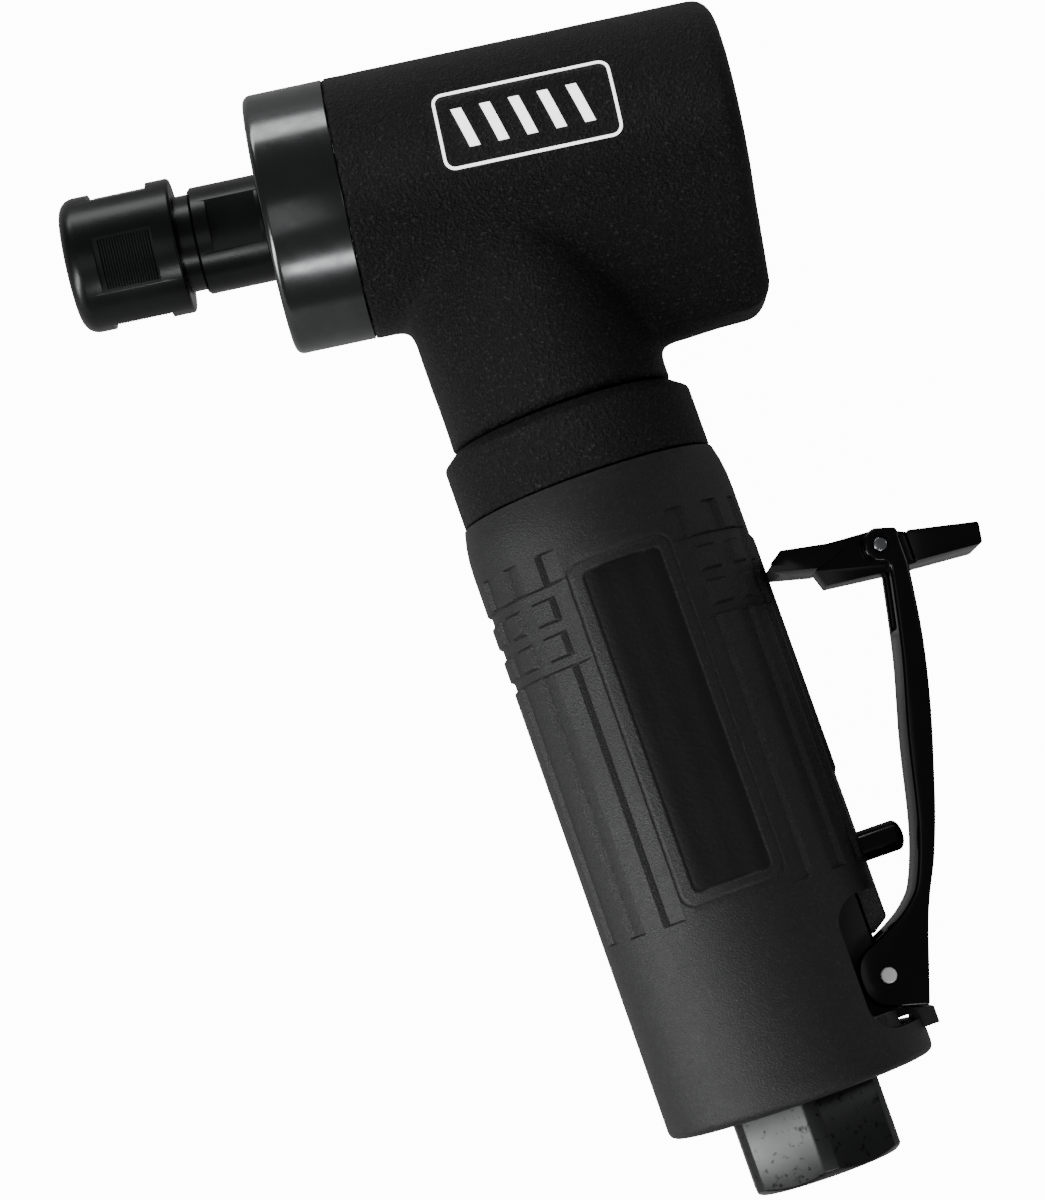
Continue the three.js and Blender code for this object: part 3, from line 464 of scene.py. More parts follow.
class GrinderSizes(bpy.types.PropertyGroup):
    """Sizes of the dressing, on top of the frame's own."""
    rib_depth: length_setting("Rib depth", "Deepest cut between the grip's ribs", 0.5, 0, 1)
    groove_depth: length_setting(
        "Cross groove depth", "Depth of the three grooves across the ribs", 0.47, 0, 1)
    lever_edge: length_setting("Lever edge", "Rounding of the throttle lever's edges", 0.45, 0.05, 1)
    serration_pitch: length_setting(
        "Serration pitch", "Distance between the ridges on the nut's flats", 0.4, 0.2, 1)
    head_detail: length_setting("Head detail", "Grid size of the blended head casting", 0.5, 0.3, 2)


def colour_setting(label, about, value):
    return bpy.props.FloatVectorProperty(name=label, description=about, default=value, size=3,
                                         min=0.0, max=1.0, subtype="COLOR")


class GrinderLooks(bpy.types.PropertyGroup):
    """Colours of the finishes."""
    grip_colour: colour_setting("Grip", "Rubber of the grip sleeve", (0.0085, 0.009, 0.0088))
    head_colour: colour_setting("Head", "Sanded enamel of the head", (0.0032, 0.0035, 0.0034))
    lever_colour: colour_setting("Lever", "Gloss enamel of the levers", (0.0015, 0.0015, 0.0016))
    steel_colour: colour_setting("Steel", "Bright steel", (0.62, 0.63, 0.65))
    oxide_colour: colour_setting("Oxide", "Blackened steel", (0.028, 0.029, 0.029))
    floor_colour: colour_setting("Floor", "Plain floor", (0.4, 0.4, 0.4))


def sizes():
    return bpy.context.scene.grinder_sizes


# ------------------------------------------------------------ head

class GRINDER_OT_head(bpy.types.Operator):
    """Makes the cast head: barrel, heel and neck, blended into one body."""
    bl_idname = "grinder.head"
    bl_label = "Head"

    def execute(self, context):
        profile = [(0, -BARREL_REAR)] + rounded(
            [(0, -BARREL_REAR), (BARREL_RADIUS, -BARREL_REAR), (BARREL_RADIUS, BARREL_FRONT),
             (0, BARREL_FRONT)], [0, 3, 0.3, 0], 8)[1:-1] + [(0, BARREL_FRONT)]
        barrel = turned("head_casting", profile, 160, NOSE)
        heel = self.heel()
        neck = turned("neck", [
            (0, NECK_START), (NECK_RADIUS - 0.35, NECK_START), (NECK_RADIUS, NECK_START + 0.35),
            (NECK_RADIUS, 128), (0, 128)], 160)
        work = bmesh.new()
        for part in (barrel, heel, neck):
            work.from_mesh(part.data)
        work.to_mesh(barrel.data)
        work.free()
        bpy.data.objects.remove(heel)
        bpy.data.objects.remove(neck)
        blend = barrel.modifiers.new("Casting", "REMESH")
        blend.mode = "VOXEL"
        blend.voxel_size = sizes().head_detail
        apply_modifiers(barrel)
        self.fillet(barrel)
        cavity = turned("cavity", [
            (0, -33.5), (13.3, -33.5), (13.3, -18.5), (15.6, -18.5), (15.6, 12), (12.5, 14),
            (14.3, 14.1), (14.3, 22), (0, 22)], 96, NOSE)
        bore = turned("bore", [(0, 95), (11.3, 95), (11.3, 107), (12.6, 108), (12.6, SPINDLE_Y),
                               (0, SPINDLE_Y)], 96)
        spigot = turned("spigot", [(11.2, 93.6), (14, 93.6), (14.3, 93.9), (14.3, 102.1), (11.2, 102.1)], 96)
        combine(barrel, [cavity, bore])
        dress(barrel, finish("sanded black"), "housing", ["head_housing"], 50)
        dress(spigot, finish("sanded black"), "housing", [])
        return {"FINISHED"}

    def heel(self):
        """The deep rear of the head: a drop-shaped section with a rounded end and a flat underside."""
        drop, tip, edge, sides = 21.3, 8.0, 3.7, 96
        tilt = math.radians(NOSE_TILT)
        layers = [(4.0, 0.0), (20.0, 0.0)]
        for i in range(9):
            turn = math.radians(90 * i / 8)
            layers.append((BARREL_REAR - edge + edge * math.sin(turn), edge - edge * math.cos(turn)))
        lean = math.asin((BARREL_RADIUS - tip) / drop)
        top = math.pi / 2 + lean
        points = []
        for depth, inset in layers:
            floor_y = HEEL_FLOOR_Y + inset
            lowest = (floor_y - SPINDLE_Y + depth * math.sin(tilt)) / math.cos(tilt)
            for i in range(sides):
                share = i / sides
                if share < 0.68:
                    angle, radius, middle = -top + 2 * top * share / 0.68, BARREL_RADIUS - inset, 0.0
                else:
                    angle = top + (math.tau - 2 * top) * (share - 0.68) / 0.32
                    radius, middle = tip - inset, -drop
                x = max(lowest, middle + radius * math.cos(angle))
                points.append((x, -depth, radius * math.sin(angle)))
        faces = [list(range(sides)), list(range(len(points) - sides, len(points)))]
        for k in range(len(layers) - 1):
            faces += strip(k * sides, (k + 1) * sides, sides)
        return from_faces("heel", points, faces, NOSE)

    def fillet(self, casting):
        """Smooths the casting where its neck runs into the barrel and the heel."""
        to_nose = NOSE.inverted()
        to_tool = TOOL.inverted()
        joint = casting.vertex_groups.new(name="Joint")
        body = casting.vertex_groups.new(name="Body")
        for vertex in casting.data.vertices:
            here = to_tool @ vertex.co
            local = to_nose @ vertex.co
            from_neck = abs(math.hypot(here.x, here.z) - NECK_RADIUS)
            from_barrel = abs(math.hypot(local.x, local.z) - BARREL_RADIUS)
            from_floor = abs(here.y - HEEL_FLOOR_Y)
            near = min(max(from_neck, from_barrel), max(from_neck, from_floor))
            weight = min(1.0, max(0.0, (4.4 - near) / 2.4))
            if here.y < 104.0 or local.y > 17.5:
                weight = 0.0
            joint.add([vertex.index], weight, "REPLACE")
            body.add([vertex.index], 1.0 if local.y < 18.2 and here.y > 103.2 else 0.0, "REPLACE")
        for label, group_name, rounds in (("Fillet", "Joint", 60), ("Even", "Body", 4)):
            smooth = casting.modifiers.new(label, "SMOOTH")
            smooth.factor = 0.6
            smooth.iterations = rounds
            smooth.vertex_group = group_name
        apply_modifiers(casting)
        casting.vertex_groups.clear()


class GRINDER_OT_print(bpy.types.Operator):
    """Makes the plain printed panel on the head: an outline with slanting bars."""
    bl_idname = "grinder.print"
    bl_label = "Head print"

    def execute(self, context):
        middle, up, width, height = -8.2, 3.85, 25.0, 11.2
        corners = [(middle - width / 2, up - height / 2), (middle + width / 2, up - height / 2),
                   (middle + width / 2, up + height / 2), (middle - width / 2, up + height / 2)]
        faces, points = [], []
        self.band(points, faces, rounded(corners, 1.4, 6), 0.42)
        for i in range(5):
            self.bar(points, faces, -17.4 + 4.1 * i, 1.5, 1.6)
        obj = from_faces("head_print", points, faces, NOSE)
        # The print's finish glows through emission, a painted brightness.
        dress(obj, finish("white print with painted glow"), "housing", [])
        return {"FINISHED"}

    def on_barrel(self, along, up, rise):
        radius = BARREL_RADIUS + rise
        angle = math.asin(up / BARREL_RADIUS)
        return (radius * math.sin(angle), along, radius * math.cos(angle))

    def band(self, points, faces, path, width):
        """A closed band of print that follows the path."""
        dense = []
        for i, start in enumerate(path):
            one, two = Vector(start), Vector(path[(i + 1) % len(path)])
            steps = max(1, int((two - one).length / 0.5))
            dense += [one.lerp(two, k / steps) for k in range(steps)]
        count, base = len(dense), len(points)
        for i, here in enumerate(dense):
            way = (dense[(i + 1) % count] - dense[i - 1]).normalized()
            side = Vector((-way.y, way.x)) * width / 2
            for spot, rise in ((here + side, 0.035), (here - side, 0.035), (here - side, -0.1),
                               (here + side, -0.1)):
                points.append(self.on_barrel(spot.x, spot.y, rise))
        for i in range(count):
            a, b = base + 4 * i, base + 4 * ((i + 1) % count)
            faces += strip(a, b, 4)

    def bar(self, points, faces, start, width, slant):
        """A filled slanting bar of print across the panel."""
        base, steps, low, tall = len(points), 10, 0.85, 6.0
        for k in range(steps + 1):
            up, shift = low + tall * k / steps, slant * k / steps
            for along, rise in ((start + shift, 0.035), (start + shift + width, 0.035),
                                (start + shift + width, -0.1), (start + shift, -0.1)):
                points.append(self.on_barrel(along, up, rise))
        for k in range(steps):
            a, b = base + 4 * k, base + 4 * (k + 1)
            faces += strip(a, b, 4)
        faces += [[base, base + 1, base + 2, base + 3], [base + 4 * steps + j for j in range(4)]]


# ------------------------------------------------------------ nose

class GRINDER_OT_nose(bpy.types.Operator):
    """Makes the bearing cap, the spindle with its wrench flats, and the collet."""
    bl_idname = "grinder.nose"
    bl_label = "Nose"

    def execute(self, context):
        cap = turned("nose_cap", rounded([
            (14.3, 19.5), (17.6, 19.5), (17.8, 19.26), (18.95, 19.26), (18.95, 30.95), (8.3, 30.95),
            (8.3, 28.95), (10.6, 28.95), (10.6, 26), (14.3, 24)],
            [0, 0, 0, 0.2, 1.2, 0.3, 0, 0.2, 0, 0], 6), 200, NOSE)
        dress(cap, finish("polished dark"), "housing", ["front_bearing_cap"])
        spindle = turned("nose_spindle", [
            (0, -32.9), (4.9, -32.9), (5, -32.8), (5, -24), (6, -24), (6, 23), (7.8, 23),
            (7.8, 41.1), (7.4, 41.5), (7.0, 41.5), (7.0, 43.5), (6.6, 43.5), (6.6, 55.2), (5.6, 55.2),
            (4.5, 45.8), (3.5, 45.8), (3.5, 30.95), (0, 30.95)], 128, NOSE)
        flats = []
        for x in ((6.8, 9), (-9, -6.8)):
            turn = NOSE @ spin(FLANGE_FLAT_TURN)
            flats.append(block("flat", x, (31.9, 39.1), (-9, 9), turn))
        combine(spindle, flats)
        dress(spindle, finish("oxide steel"), "spindle", ["spindle"])
        collet = turned("nose_collet", [
            (3.175, 46.1), (4.1, 46.1), (5.25, 55.2), (5.25, 56.7), (4.4, 59.2), (4.2, 59.4),
            (3.4, 59.4), (3.175, 59.2)], 96, NOSE)
        slits = [block("slit", (0, 8), (49.8, 61), (-0.35, 0.35),
                       NOSE @ spin(a)) for a in (0, 120, 240)]
        combine(collet, slits)
        dress(collet, finish("bright steel"), "spindle", ["collet"])
        return {"FINISHED"}


class GRINDER_OT_nut(bpy.types.Operator):
    """Makes the collet nut, and the serrations on its four flats."""
    bl_idname = "grinder.nut"
    bl_label = "Collet nut"

    def execute(self, context):
        outline = rounded([(7.3, 43.8), (9.85, 43.8), (9.85, 60.2), (5, 60.2), (5, 59.6), (7, 56),
                           (7, 44.2)], [0, 0.5, 3, 0.25, 0, 0, 0], 8)
        nut = turned("nose_nut", outline, 160, NOSE)
        flats = [block("flat", (9, 11), (47.1, 55.7), (-6, 6),
                       NOSE @ spin(NUT_FLAT_TURN + 90 * i))
                 for i in range(4)]
        combine(nut, flats)
        dress(nut, finish("oxide steel"), "nut", ["collet_nut"])
        holder = new_object("nut_serrations", bpy.data.meshes.new("nut_serrations"))
        modifier = holder.modifiers.new("Serrations", "NODES")
        modifier.node_group = self.tree()
        pitch = sizes().serration_pitch / MM
        values = {"Pitch": pitch, "Count": int(7.6 / pitch), "Length": 7.2, "Width": 0.2,
                  "Distance": 8.99, "Start": 47.6, "Material": finish("polished dark")}
        for item in modifier.node_group.interface.items_tree:
            if item.in_out == "INPUT" and item.name in values:
                modifier[item.identifier] = values[item.name]
        apply_modifiers(holder)
        holder.data.transform(NOSE @ spin(NUT_FLAT_TURN))
        outward(holder.data)
        dress(holder, finish("polished dark"), "nut", [])
        return {"FINISHED"}

    def tree(self):
        """Ridges across a flat, in a line along the nut, on each of its four sides."""
        tree = bpy.data.node_groups.new("Flat serrations", "GeometryNodeTree")
        tree.interface.new_socket("Geometry", in_out="INPUT", socket_type="NodeSocketGeometry")
        for label, kind in (("Pitch", "Float"), ("Count", "Int"), ("Length", "Float"), ("Width", "Float"),
                            ("Distance", "Float"), ("Start", "Float"), ("Material", "Material")):
            tree.interface.new_socket(label, in_out="INPUT", socket_type="NodeSocket" + kind)
        tree.interface.new_socket("Geometry", in_out="OUTPUT", socket_type="NodeSocketGeometry")
        nodes, link = tree.nodes, tree.links.new
        given, result = nodes.new("NodeGroupInput"), nodes.new("NodeGroupOutput")
        ridge_size = nodes.new("ShaderNodeCombineXYZ")
        ridge = nodes.new("GeometryNodeMeshCube")
        link(given.outputs["Width"], ridge_size.inputs["X"])
        link(given.outputs["Width"], ridge_size.inputs["Y"])
        link(given.outputs["Length"], ridge_size.inputs["Z"])
        link(ridge_size.outputs[0], ridge.inputs["Size"])
        turn = nodes.new("GeometryNodeTransform")
        put(turn, Rotation=(0, 0, math.radians(45)))
        link(ridge.outputs["Mesh"], turn.inputs["Geometry"])
        start, step = nodes.new("ShaderNodeCombineXYZ"), nodes.new("ShaderNodeCombineXYZ")
        link(given.outputs["Distance"], start.inputs["X"])
        link(given.outputs["Start"], start.inputs["Y"])
        link(given.outputs["Pitch"], step.inputs["Y"])
        line = nodes.new("GeometryNodeMeshLine")
        link(given.outputs["Count"], line.inputs["Count"])
        link(start.outputs[0], line.inputs["Start Location"])
        link(step.outputs[0], line.inputs["Offset"])
        row = nodes.new("GeometryNodeInstanceOnPoints")
        link(line.outputs["Mesh"], row.inputs["Points"])
        link(turn.outputs["Geometry"], row.inputs["Instance"])
        sides = nodes.new("GeometryNodeMeshLine")
        put(sides, Count=4, Offset=(0, 0, 0))
        number, angle = nodes.new("GeometryNodeInputIndex"), nodes.new("ShaderNodeMath")
        angle.operation = "MULTIPLY"
        angle.inputs[1].default_value = math.pi / 2
        about = nodes.new("ShaderNodeCombineXYZ")
        link(number.outputs[0], angle.inputs[0])
        link(angle.outputs[0], about.inputs["Y"])
        around = nodes.new("GeometryNodeInstanceOnPoints")
        link(sides.outputs["Mesh"], around.inputs["Points"])
        link(row.outputs["Instances"], around.inputs["Instance"])
        link(about.outputs[0], around.inputs["Rotation"])
        real, paint = nodes.new("GeometryNodeRealizeInstances"), nodes.new("GeometryNodeSetMaterial")
        link(around.outputs["Instances"], real.inputs["Geometry"])
        link(real.outputs["Geometry"], paint.inputs["Geometry"])
        link(given.outputs["Material"], paint.inputs["Material"])
        link(paint.outputs["Geometry"], result.inputs["Geometry"])
        return tree


# ------------------------------------------------------------ handle

def step(value, start, end):
    """0 before start, 1 after end, and straight between them."""
    return min(1.0, max(0.0, (value - start) / (end - start)))


def inside(u, v, half_u, low, high, corner):
    """Distance into a rounded rectangle, negative outside it, in mm."""
    middle, half_v = (low + high) / 2, (high - low) / 2
    du, dv = abs(u) - half_u + corner, abs(v - middle) - half_v + corner
    return corner - math.hypot(max(du, 0), max(dv, 0)) - min(max(du, dv), 0)


RIB_CUTS = ((23.2, 34.0), (43.4, 54.0), (62.8, 73.0))
RIB_LOW, RIB_HIGH = 28.4, 82.6
CROSS_CUTS = ((66.35, 68.35), (71.15, 73.35), (76.15, 78.3))
PANEL_OUTER = (7.7, 29.9, 79.7, 2.0)
PANEL_INNER = (5.95, 31.3, 78.3, 1.2)


class GRINDER_OT_grip(bpy.types.Operator):
    """Makes the rubber grip sleeve with its ribs, cross grooves and side panels."""
    bl_idname = "grinder.grip"
    bl_label = "Grip"

    def radius(self, degrees, y):
        """Radius of the sleeve's surface at an angle from +Z, towards +X, and a height."""
        radius = GRIP_RADIUS
        if y > SHOULDER_Y:
            radius -= 0.85 * step(y, SHOULDER_Y, GRIP_LENGTH) ** 2
        side = degrees if abs(degrees) <= 90 else math.copysign(180 - abs(degrees), degrees)
        reach = abs(side)
        depth = 0.0
        ends = step(y, RIB_LOW, RIB_LOW + 0.3) * (1 - step(y, RIB_HIGH - 0.3, RIB_HIGH))
        deep = sizes().rib_depth / MM
        raised = 1.0
        for start, end in RIB_CUTS:
            if start < reach < end:
                wall = end - 2.6
                level = 0.12 + (deep - 0.12) * step(reach, start, wall)
                level *= step(reach, start, start + 0.35) * (1 - step(reach, wall, end))
                depth = max(depth, level * ends)
                raised = min(raised, max(1 - step(reach, start, start + 0.9), step(reach, wall, end)))
        first, last = CROSS_CUTS[0][0], CROSS_CUTS[-1][1]
        rows = step(y, first, first + 0.4) * (1 - step(y, last - 0.4, last))
        if reach > 23.2 and rows > 0 and (degrees < 0 or reach < 74):
            for low, high in CROSS_CUTS:
                raised = min(raised, 1 - step(y, low, low + 0.4) * (1 - step(y, high - 0.4, high)))
            level = rows * (1 - raised) * step(reach, 23.2, 27.0)
            if degrees > 0:
                level *= 1 - step(reach, 72, 74)
            depth = max(depth * (1 - rows), level * sizes().groove_depth / MM)
        if degrees > 0 and reach > 76:
            depth -= 0.38 * step(reach, 76, 79) * step(y, 41, 41.8) * (1 - step(y, 76.2, 77))
        across = math.radians(side) * GRIP_RADIUS
        outer = inside(across, y, *PANEL_OUTER)
        inner = inside(across - 0.15, y, *PANEL_INNER)
        depth += 0.13 * step(outer, -0.3, 0.0) * (1 - step(outer, 0.2, 0.5))
        if inner > 0:
            flat = GRIP_RADIUS - 18.98 / math.cos(math.radians(side))
            depth = max(depth, max(0.16, min(flat, 0.55)) * step(inner, 0, 0.4))
        return radius - depth

    def lines(self, values, low, high, spacing, width):
        """Grid lines: close on both sides of each value, and evenly spread elsewhere."""
        marks = set()
        for value in values:
            for share in (-1.0, -0.5, 0.0, 0.5, 1.0):
                marks.add(round(value + share * width, 3))
        count = int((high - low) / spacing)
        marks |= {round(low + (high - low) * i / count, 3) for i in range(count + 1)}
        ordered = [mark for mark in sorted(marks) if low <= mark <= high]
        kept = [ordered[0]]
        for mark in ordered[1:]:
            if mark - kept[-1] > 0.2 * width:
                kept.append(mark)
        return kept

    def execute(self, context):
        edges = []
        for start, end in RIB_CUTS:
            edges += [start, start + 0.35, end - 2.6, end]
        edges += [71.0, 76.0, 79.0, 22.5, 17.8, 16.8, 21.2]
        quarter = [edge for value in edges for edge in (value, 180 - value)]
        corner = [15 + 0.6 * i for i in range(14)]
        quarter += corner + [180 - value for value in corner]
        angles = self.lines(quarter + [-value for value in quarter], -180, 180, 2.5, 0.45)[:-1]
        marks = [RIB_LOW, RIB_LOW + 0.3, RIB_HIGH - 0.3, RIB_HIGH, 41, 41.8, 76.2, 77]
        for low, high in CROSS_CUTS:
            marks += [low, low + 0.4, high - 0.4, high]
        marks += [29.9 + 0.3 * i for i in range(12)] + [76.4 + 0.3 * i for i in range(12)]
        heights = self.lines(marks, 1.2, GRIP_LENGTH, 2.0, 0.15)
        rows = [(GRIP_BORE, 0.0), (18.4, 0.0), (18.85, 0.1), (19.25, 0.35), (19.5, 0.75)]
        rings = [([radius] * len(angles), y) for radius, y in rows]
        rings += [([self.radius(a, y) for a in angles], y) for y in heights]
        rings.append(([GRIP_BORE] * len(angles), GRIP_LENGTH))
        points = [(radius * math.sin(math.radians(a)), y, radius * math.cos(math.radians(a)))
                  for radii, y in rings for radius, a in zip(radii, angles)]
        wide, tall = len(angles), len(rings)
        faces = []
        for r in range(tall):
            faces += strip(r * wide, ((r + 1) % tall) * wide, wide)
        sleeve = from_faces("grip_rubber_sleeve", points, faces)
        high = GRIP_RADIUS + 5
        pocket = rounded([(high, POCKET_LOW), (POCKET_LEFT, POCKET_LOW), (POCKET_LEFT, POCKET_TOP),
                          (high, POCKET_TOP)], [0, POCKET_CORNER, POCKET_CORNER, 0], 12)
        combine(sleeve, [
            plate("pocket", pocket, POCKET_FLOOR, high), plate("pocket", pocket, -high, -POCKET_FLOOR),
            plate("slot", [(14.9, POCKET_LOW), (high, POCKET_LOW), (high, 19.9), (GRIP_RADIUS, 19.9),
                           (16.9, 18.1), (14.9, 18.1)], -7.5, 7.5),
            block("foot", (17.9, high), (3.2, 6), (-4.9, 4.9)),
            turned("hole", rod(2.7, 14.9, 21.6), 48, side_frame(30))])
        dress(sleeve, finish("grip rubber"), "housing", ["grip_sleeve"], 28)
        sleeve.data.materials.append(finish("panel rubber"))
        to_tool = TOOL.inverted()
        for face in sleeve.data.polygons:
            here = to_tool @ face.center
            around = math.atan2(here.x, abs(here.z)) * GRIP_RADIUS
            if math.hypot(here.x, here.z) > 18.5 and inside(around - 0.15, here.y, *PANEL_INNER) > 0.2:
                face.material_index = 1
        return {"FINISHED"}


class GRINDER_OT_handle(bpy.types.Operator):
    """Makes the lock collar, the inlet bushing and the exhaust deflector."""
    bl_idname = "grinder.handle"
    bl_label = "Handle fittings"

    def execute(self, context):
        collar = turned("handle_collar", rounded([
            (17.2, 91.0), (18.5, 91.0), (18.5, 100.0), (16.5, 101.5), (14.6, 101.5), (14.6, 96.6),
            (17.2, 96.6)], [0, 0.3, 0.9, 0.25, 0, 0, 0], 6), 200)
        dress(collar, finish("sanded black"), "housing", ["lock_collar"])
        corner = 21 / math.sqrt(3)
        hexagon = [(corner * math.sin(math.radians(60 * i)), corner * math.cos(math.radians(60 * i)))
                   for i in range(6)]
        bushing = plate("inlet_hexagon", hexagon, -1.2, 11.2, TOOL @ Matrix.Rotation(math.pi / 2, 4, "X"))
        limit = turned("limit", [(0, -11.2), (10.1, -11.2), (11.6, -10.3), (11.6, 1.2), (0, 1.2)], 160)
        combine(bushing, [limit], "INTERSECT")
        shank = turned("shank", [(0, 1.0), (9.5, 1.0), (9.5, 7.0), (8.8, 7.0), (8.8, 11.2), (0, 11.2)], 96)
        combine(bushing, [shank], "UNION")
        soften(bushing, 0.18, 2, 35)
        thread = [(0, -12), (6.6, -12), (6.6, -11.1), (5.9, -10.4)]
        thread += [(5.45 if i % 2 else 5.95, -10.2 + 0.7 * i) for i in range(14)]
        thread += [(5.7, -0.6), (4.5, -0.6), (4.5, 12), (0, 12)]
        combine(bushing, [turned("thread", thread, 96)])
        dress(bushing, finish("worn oxide"), "housing", ["inlet_bushing"])
        deflector = turned("exhaust_plate", rounded([
            (12.5, 0.9), (16.9, 0.9), (16.9, 3.2), (12.5, 3.2)], [0.2, 0.3, 0, 0], 3), 160)
        holes = []
        for i in range(10):
            turn = TOOL @ spin(36 * i) @ Matrix.Translation((0, 0, 14.6))
            holes.append(turned("hole", rod(0.9, 0, 5), 24, turn))
        holes.append(block("clear", (POCKET_LEFT, GRIP_RADIUS), (-1, 7.5), (-5.1, 5.1)))
        combine(deflector, holes)
        dress(deflector, finish("black rubber"), "housing", ["exhaust_deflector"])
        return {"FINISHED"}


# ------------------------------------------------------------ lever, lock and valve

def lever_outline():
    outside = smooth_curve([(20.6, 6.2), (22.0, 10.3), (24.3, 17), (26.0, 21), (28, 25), (30, 30),
                            (31.7, 35), (34.8, 45), (37.2, 55), (38.8, 65.5)], 5)
    lx, ly = LOCK_PIVOT
    nose = [(lx + 2.9, ly + 1.6)]
    nose += [(lx + 2.45 * math.cos(a), ly + 2.45 * math.sin(a))
             for a in (math.radians(90 + (261 - 90) * i / 14) for i in range(15))]
    under = smooth_curve([(36.1, 65.6), (33.6, 54), (30.4, 42.5), (27.5, 30.5), (24.8, 23.3),
                          (22.7, 20.6), (20, 18.7), (16.3, 16.9)], 6)
    heel = []
    bends = (((16.3, 16.9), (12.4, 16), (12.4, 12.2)), ((12.4, 12.2), (12.4, 8.6), (15.2, 7.7)))
    for start, pull, end in bends:
        for i in range(1, 9):
            t = i / 8
            heel.append(tuple((1 - t) ** 2 * s + 2 * t * (1 - t) * p + t * t * e
                              for s, p, e in zip(start, pull, end)))
    return outside + nose + under + heel


class GRINDER_OT_lever(bpy.types.Operator):
    """Makes the throttle lever, its pivot pin and the valve plunger that it presses."""
    bl_idname = "grinder.lever"
    bl_label = "Throttle lever"

    def execute(self, context):
        edge = sizes().lever_edge / MM
        lever = plate("lever_paddle", lever_outline(), -LEVER_HALF, LEVER_HALF)
        tilt = math.atan2(24.3 - 20.6, 17 - 6.2)
        reach = (20.6 - PIVOT[0]) * math.cos(tilt) - (6.2 - PIVOT[1]) * math.sin(tilt)
        ears = TOOL @ Matrix.Translation((*PIVOT, 0)) @ Matrix.Rotation(-tilt, 4, "Z")
        combine(lever, [block("ears", (-12, reach - 1.6), (-12, 6.2), (-5, 5), ears),
                        block("fork", (30, 45), (57.5, 80), (-4.2, 4.2))])
        soften(lever, edge, 4, 50)
        cuts = [cross_pin("hole", centre, rod(radius, -9, 9), 48)
                for centre, radius in ((PIVOT, 1.3), (LOCK_PIVOT, 1.15))]
        for low, high in ((6.85, 9), (-9, -6.85)):
            cuts.append(cross_pin("sink", LOCK_PIVOT, rod(1.5, low, high), 48))
            cuts.append(cross_pin("sink", PIVOT, rod(1.45, low + 0.15, high), 48) if low > 0
                        else cross_pin("sink", PIVOT, rod(1.45, low, high - 0.15), 48))
        combine(lever, cuts)
        dress(lever, finish("gloss black"), "throttle", ["throttle_lever"], 35)
        for name, centre, radius, node, body in (
                ("pivot_pin", PIVOT, 1.15, "lever_pivot_pin", "housing"),
                ("lock_hinge_pin", LOCK_PIVOT, 1.0, "lock_pin", "throttle")):
            pin = cross_pin(name, centre, rounded(
                [(0, -LEVER_HALF), (radius, -LEVER_HALF), (radius, LEVER_HALF), (0, LEVER_HALF)],
                [0, 0.25, 0.25, 0], 4, closed=False))
            look = "pin steel" if body == "housing" else "gear steel"
            dress(pin, finish(look), body, [node])
        tip = [(2.2 * math.cos(a), 24.6 + 1.2 * math.sin(a)) for a in
               (math.radians(90 * i / 8) for i in range(8))]
        plunger = turned("plunger_button", [(0, 1.6), (1.2, 1.6), (1.2, 4.5), (2.2, 4.5)] + tip
                         + [(0, 25.8)], 64, side_frame(30))
        dress(plunger, finish("gloss black"), "plunger", ["valve_plunger"])
        return {"FINISHED"}


class GRINDER_OT_lock(bpy.types.Operator):
    """Makes the safety lock: blade, hub and thumb tab in one piece."""
    bl_idname = "grinder.lock"
    bl_label = "Safety lock"

    def execute(self, context):
        lx, ly = LOCK_PIVOT

        def at(points, radius):
            return rounded([(lx + x, ly + y) for x, y in points], radius, 4)

        blade = plate("safety_lock", at([
            (-16.2, 1.4), (-15.8, 2.3), (-13.6, 3.8), (-4.5, 2.1), (-4.5, 1.3), (-8.6, -0.2),
            (-9.5, -0.3)], 0.3), -LEVER_HALF, LEVER_HALF)
        hub = plate("hub", at([
            (-9.5, -0.4), (-8.7, -2.8), (0, -3.8), (4.6, -3.9), (4.6, 0.6), (1, 2.4), (-9.5, 3)], 0.3),
            -3.9, 3.9)
        tab = plate("tab", at([(4, -3.9), (13.6, -4.6), (14.1, -1.5), (4, 0.7)], 0.4),
                    -LEVER_HALF, LEVER_HALF)
        combine(blade, [turned("space", rod(GRIP_RADIUS + 2, ly - 5, ly + 10), 200)])
        combine(blade, [hub, tab], "UNION")
        soften(blade, 0.25, 3, 40)
        combine(blade, [cross_pin("hole", LOCK_PIVOT, rod(1.3, -9, 9), 48),
                        cross_pin("room", LOCK_PIVOT, rod(2.75, -1.7, 1.7), 48)])
        dress(blade, finish("gloss black"), "lock", ["lock_lever"], 35)
        return {"FINISHED"}


class GRINDER_OT_insides(bpy.types.Operator):
    """Gives the frame's own pieces their finishes."""
    bl_idname = "grinder.insides"
    bl_label = "Inner pieces"

    def execute(self, context):
        looks = {"bright_steel": "bright steel", "gear_steel": "gear steel", "case_aluminium": "case metal",
                 "case_black": "case metal", "cast_iron_grey": "cast metal", "brass": "brass",
                 "black_rubber": "black rubber", "felt": "felt", "vane_fibre": "vane",
                 "head_black": "sanded black", "lever_black": "gloss black", "plunger_black": "gloss black",
                 "grip_rubber": "grip rubber", "black_oxide_steel": "oxide steel"}
        slots = {part["node"]: part["material_slot"] for part in frame["record"]["subparts"]}
        for node, obj in frame["nodes"].items():
            material = finish(looks[slots[node]])
            if not obj.data.materials:
                obj.data.materials.append(material)
            for entry in obj.material_slots:
                entry.material = material
        return {"FINISHED"}


# ------------------------------------------------------------ stage

